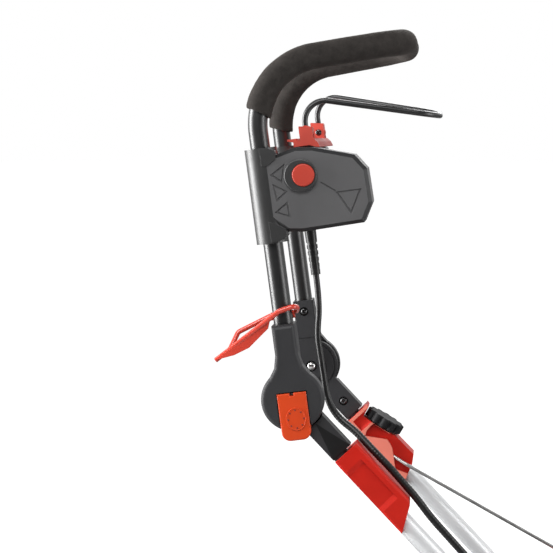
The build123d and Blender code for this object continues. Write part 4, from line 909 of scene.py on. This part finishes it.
def collector_details():
    """Seam flange, ribs, vent louvres and grip ridges of the grass box, and the flap's ribs."""
    low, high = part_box("grass_box")
    front, rear, half = high.x - 0.006, low.x, high.y
    outline = plan(rear, front, half, 0.0, 0.060)
    seam = [Vector((front, -half)), *outline[3 * CORNER_POINTS:], *outline[:CORNER_POINTS],
            Vector((front, half))]
    flange = band_mesh(seam, SEAM_LOW, SEAM_HIGH, 0.0035, "flange")
    piece("box_flange", flange, "collector_lid", "collector")
    upright, louvres = [], []
    for side in SIDES.values():
        for index in range(BOX_RIBS):
            x = front - 0.045 - BOX_PITCH * index
            upright.append(((x, side * half, RIB_MIDDLE), (0.006, 0.005, RIB_LENGTH)))
            if index:
                louvres += [((x + BOX_PITCH / 2, side * half, z), (0.040, 0.0044, 0.0032)) for z in LOUVRES]
    for index in range(REAR_RIBS):
        y = REAR_PITCH * (index - REAR_RIBS // 2)
        upright.append(((rear, y, RIB_MIDDLE), (0.005, 0.006, RIB_LENGTH)))
        if index:
            louvres += [((rear, y - REAR_PITCH / 2, z), (0.0044, 0.026, 0.0032)) for z in LOUVRES]
    blocks("box_ribs", upright, 0.0014, "collector_plastic", "collector")
    blocks("box_louvres", louvres, 0.0008, "collector_lid", "collector")
    lid = [((LID_MIDDLE, side * y, LID_TOP), (0.33, 0.006, 0.0044))
           for side in SIDES.values() for y in (0.042, 0.078, 0.112)]
    blocks("lid_ribs", lid, 0.0014, "collector_lid", "collector")
    grip = [((GRIP_MIDDLE + 0.012 * step, 0, GRIP_TOP), (0.006, 0.0215, 0.0022)) for step in range(-5, 6)]
    blocks("handle_ridges", grip, 0.0008, "collector_plastic", "collector")
    flap_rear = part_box("rear_flap")[0].x
    ribs = [((-0.062, y, FLAP_TOP), (0.112, 0.005, 0.0042)) for y in (-0.10, -0.06, -0.02, 0.02, 0.06, 0.10)]
    ribs.append(((flap_rear + 0.006, 0, FLAP_TOP), (0.005, 0.236, 0.0042)))
    blocks("flap_ribs", ribs, 0.0013, "cover_plastic", "flap")


paint_nodes()
foam_grip()
bent_rods()
power_cable()
lever_pads()
box_screws()
button_spring()
inner_screws()
wheels()
deck_details()
collector_details()

# --- Stage, lights and camera ---------------------------------------------------------------------------
FLOOR_HALF = 60
FLOOR_COLOUR, FLOOR_GLOW = 0.4, 0.93           # the glow is for the camera alone
FILL_LEVEL = 0.20              # world light on the object
AIM = (0, 0, 0.15)             # what the lamps point at, from the hub
CAMERA_OFFSET = (0.1836, -2.4803, 0.3332)      # from the hub
CAMERA_PITCH, CAMERA_YAW = 85.594, 5.084
CAMERA_LENS, CAMERA_SENSOR = 119.63, 36


def for_rays(tree, strength, *rays):
    """A value that is the strength for the named kinds of ray and 0 for all others."""
    path = tree.nodes.new("ShaderNodeLightPath")
    value = path.outputs[rays[0]]
    for ray in rays[1:]:
        either = tree.nodes.new("ShaderNodeMath")
        either.operation = "MAXIMUM"
        tree.links.new(value, either.inputs[0])
        tree.links.new(path.outputs[ray], either.inputs[1])
        value = either.outputs["Value"]
    span = tree.nodes.new("ShaderNodeMapRange")
    span.inputs["To Max"].default_value = strength
    tree.links.new(value, span.inputs["Value"])
    return span.outputs["Result"]


def paper_floor():
    """Pale floor that reads as white to the camera and keeps the object's shadow."""
    paper = Shader("floor_paper", [FLOOR_COLOUR] * 3, 0.9, Specular_IOR_Level=0.1,
                   Emission_Color=(1, 1, 1, 1))
    glow = for_rays(paper.tree, FLOOR_GLOW, "Is Camera Ray")
    paper.link(glow, paper.principled.inputs["Emission Strength"])
    bm = bmesh.new()
    bmesh.ops.create_grid(bm, x_segments=1, y_segments=1, size=FLOOR_HALF)
    floor = added("floor", from_bmesh(bm, "floor"))
    floor.data.materials.append(paper.material)


def studio_world():
    """World that is white to the camera and lights plainly, with a bright back wall that gloss reflects."""
    world = bpy.data.worlds.new("studio")
    world.use_nodes = True
    tree = world.node_tree
    background = tree.nodes["Background"]
    background.inputs["Color"].default_value = (1, 1, 1, 1)
    place = tree.nodes.new("ShaderNodeTexCoord")
    axes = tree.nodes.new("ShaderNodeSeparateXYZ")
    tree.links.new(place.outputs["Generated"], axes.inputs["Vector"])
    wall = tree.nodes.new("ShaderNodeMapRange")
    for socket, value in (("From Min", -0.3), ("From Max", 0.5), ("To Min", 0.05), ("To Max", 1.0)):
        wall.inputs[socket].default_value = value
    tree.links.new(axes.outputs["Y"], wall.inputs["Value"])
    level = tree.nodes.new("ShaderNodeMix")
    level.inputs["A"].default_value = FILL_LEVEL
    tree.links.new(for_rays(tree, 1, "Is Glossy Ray", "Is Transmission Ray"), level.inputs["Factor"])
    tree.links.new(wall.outputs["Result"], level.inputs["B"])
    final = tree.nodes.new("ShaderNodeMix")
    final.inputs["B"].default_value = 1.0
    tree.links.new(for_rays(tree, 1, "Is Camera Ray"), final.inputs["Factor"])
    tree.links.new(level.outputs["Result"], final.inputs["A"])
    tree.links.new(final.outputs["Result"], background.inputs["Strength"])
    bpy.context.scene.world = world


def softbox(name, offset, width, height, power):
    """Rectangular lamp at an offset from the hub, aimed at the handle."""
    light = bpy.data.lights.new(name, "AREA")
    light.shape = "RECTANGLE"
    light.size, light.size_y, light.energy = width, height, power
    lamp = added(name, light)
    lamp.location = HUB + Vector(offset)
    lamp.rotation_euler = (Vector(AIM) - Vector(offset)).to_track_quat("-Z", "Y").to_euler()


def camera():
    """Camera at the photograph's viewing angle."""
    view = bpy.data.cameras.new("camera")
    view.lens, view.sensor_width = CAMERA_LENS, CAMERA_SENSOR
    view.clip_end = 100
    eye = added("camera", view)
    eye.location = HUB + Vector(CAMERA_OFFSET)
    eye.rotation_euler = (radians(CAMERA_PITCH), 0, radians(CAMERA_YAW))
    bpy.context.scene.camera = eye


paper_floor()
studio_world()
softbox("left_strip", (-2.2, -0.25, 0.35), 1.1, 2.2, 135)
softbox("right_strip", (2.2, -0.85, 0.3), 0.7, 1.8, 26)
softbox("front", (-0.3, -2.0, 1.9), 1.8, 1.2, 52)
softbox("behind", (0.4, 2.2, 1.6), 1.6, 1.2, 35)
camera()
bpy.context.scene.view_settings.view_transform = "Standard"
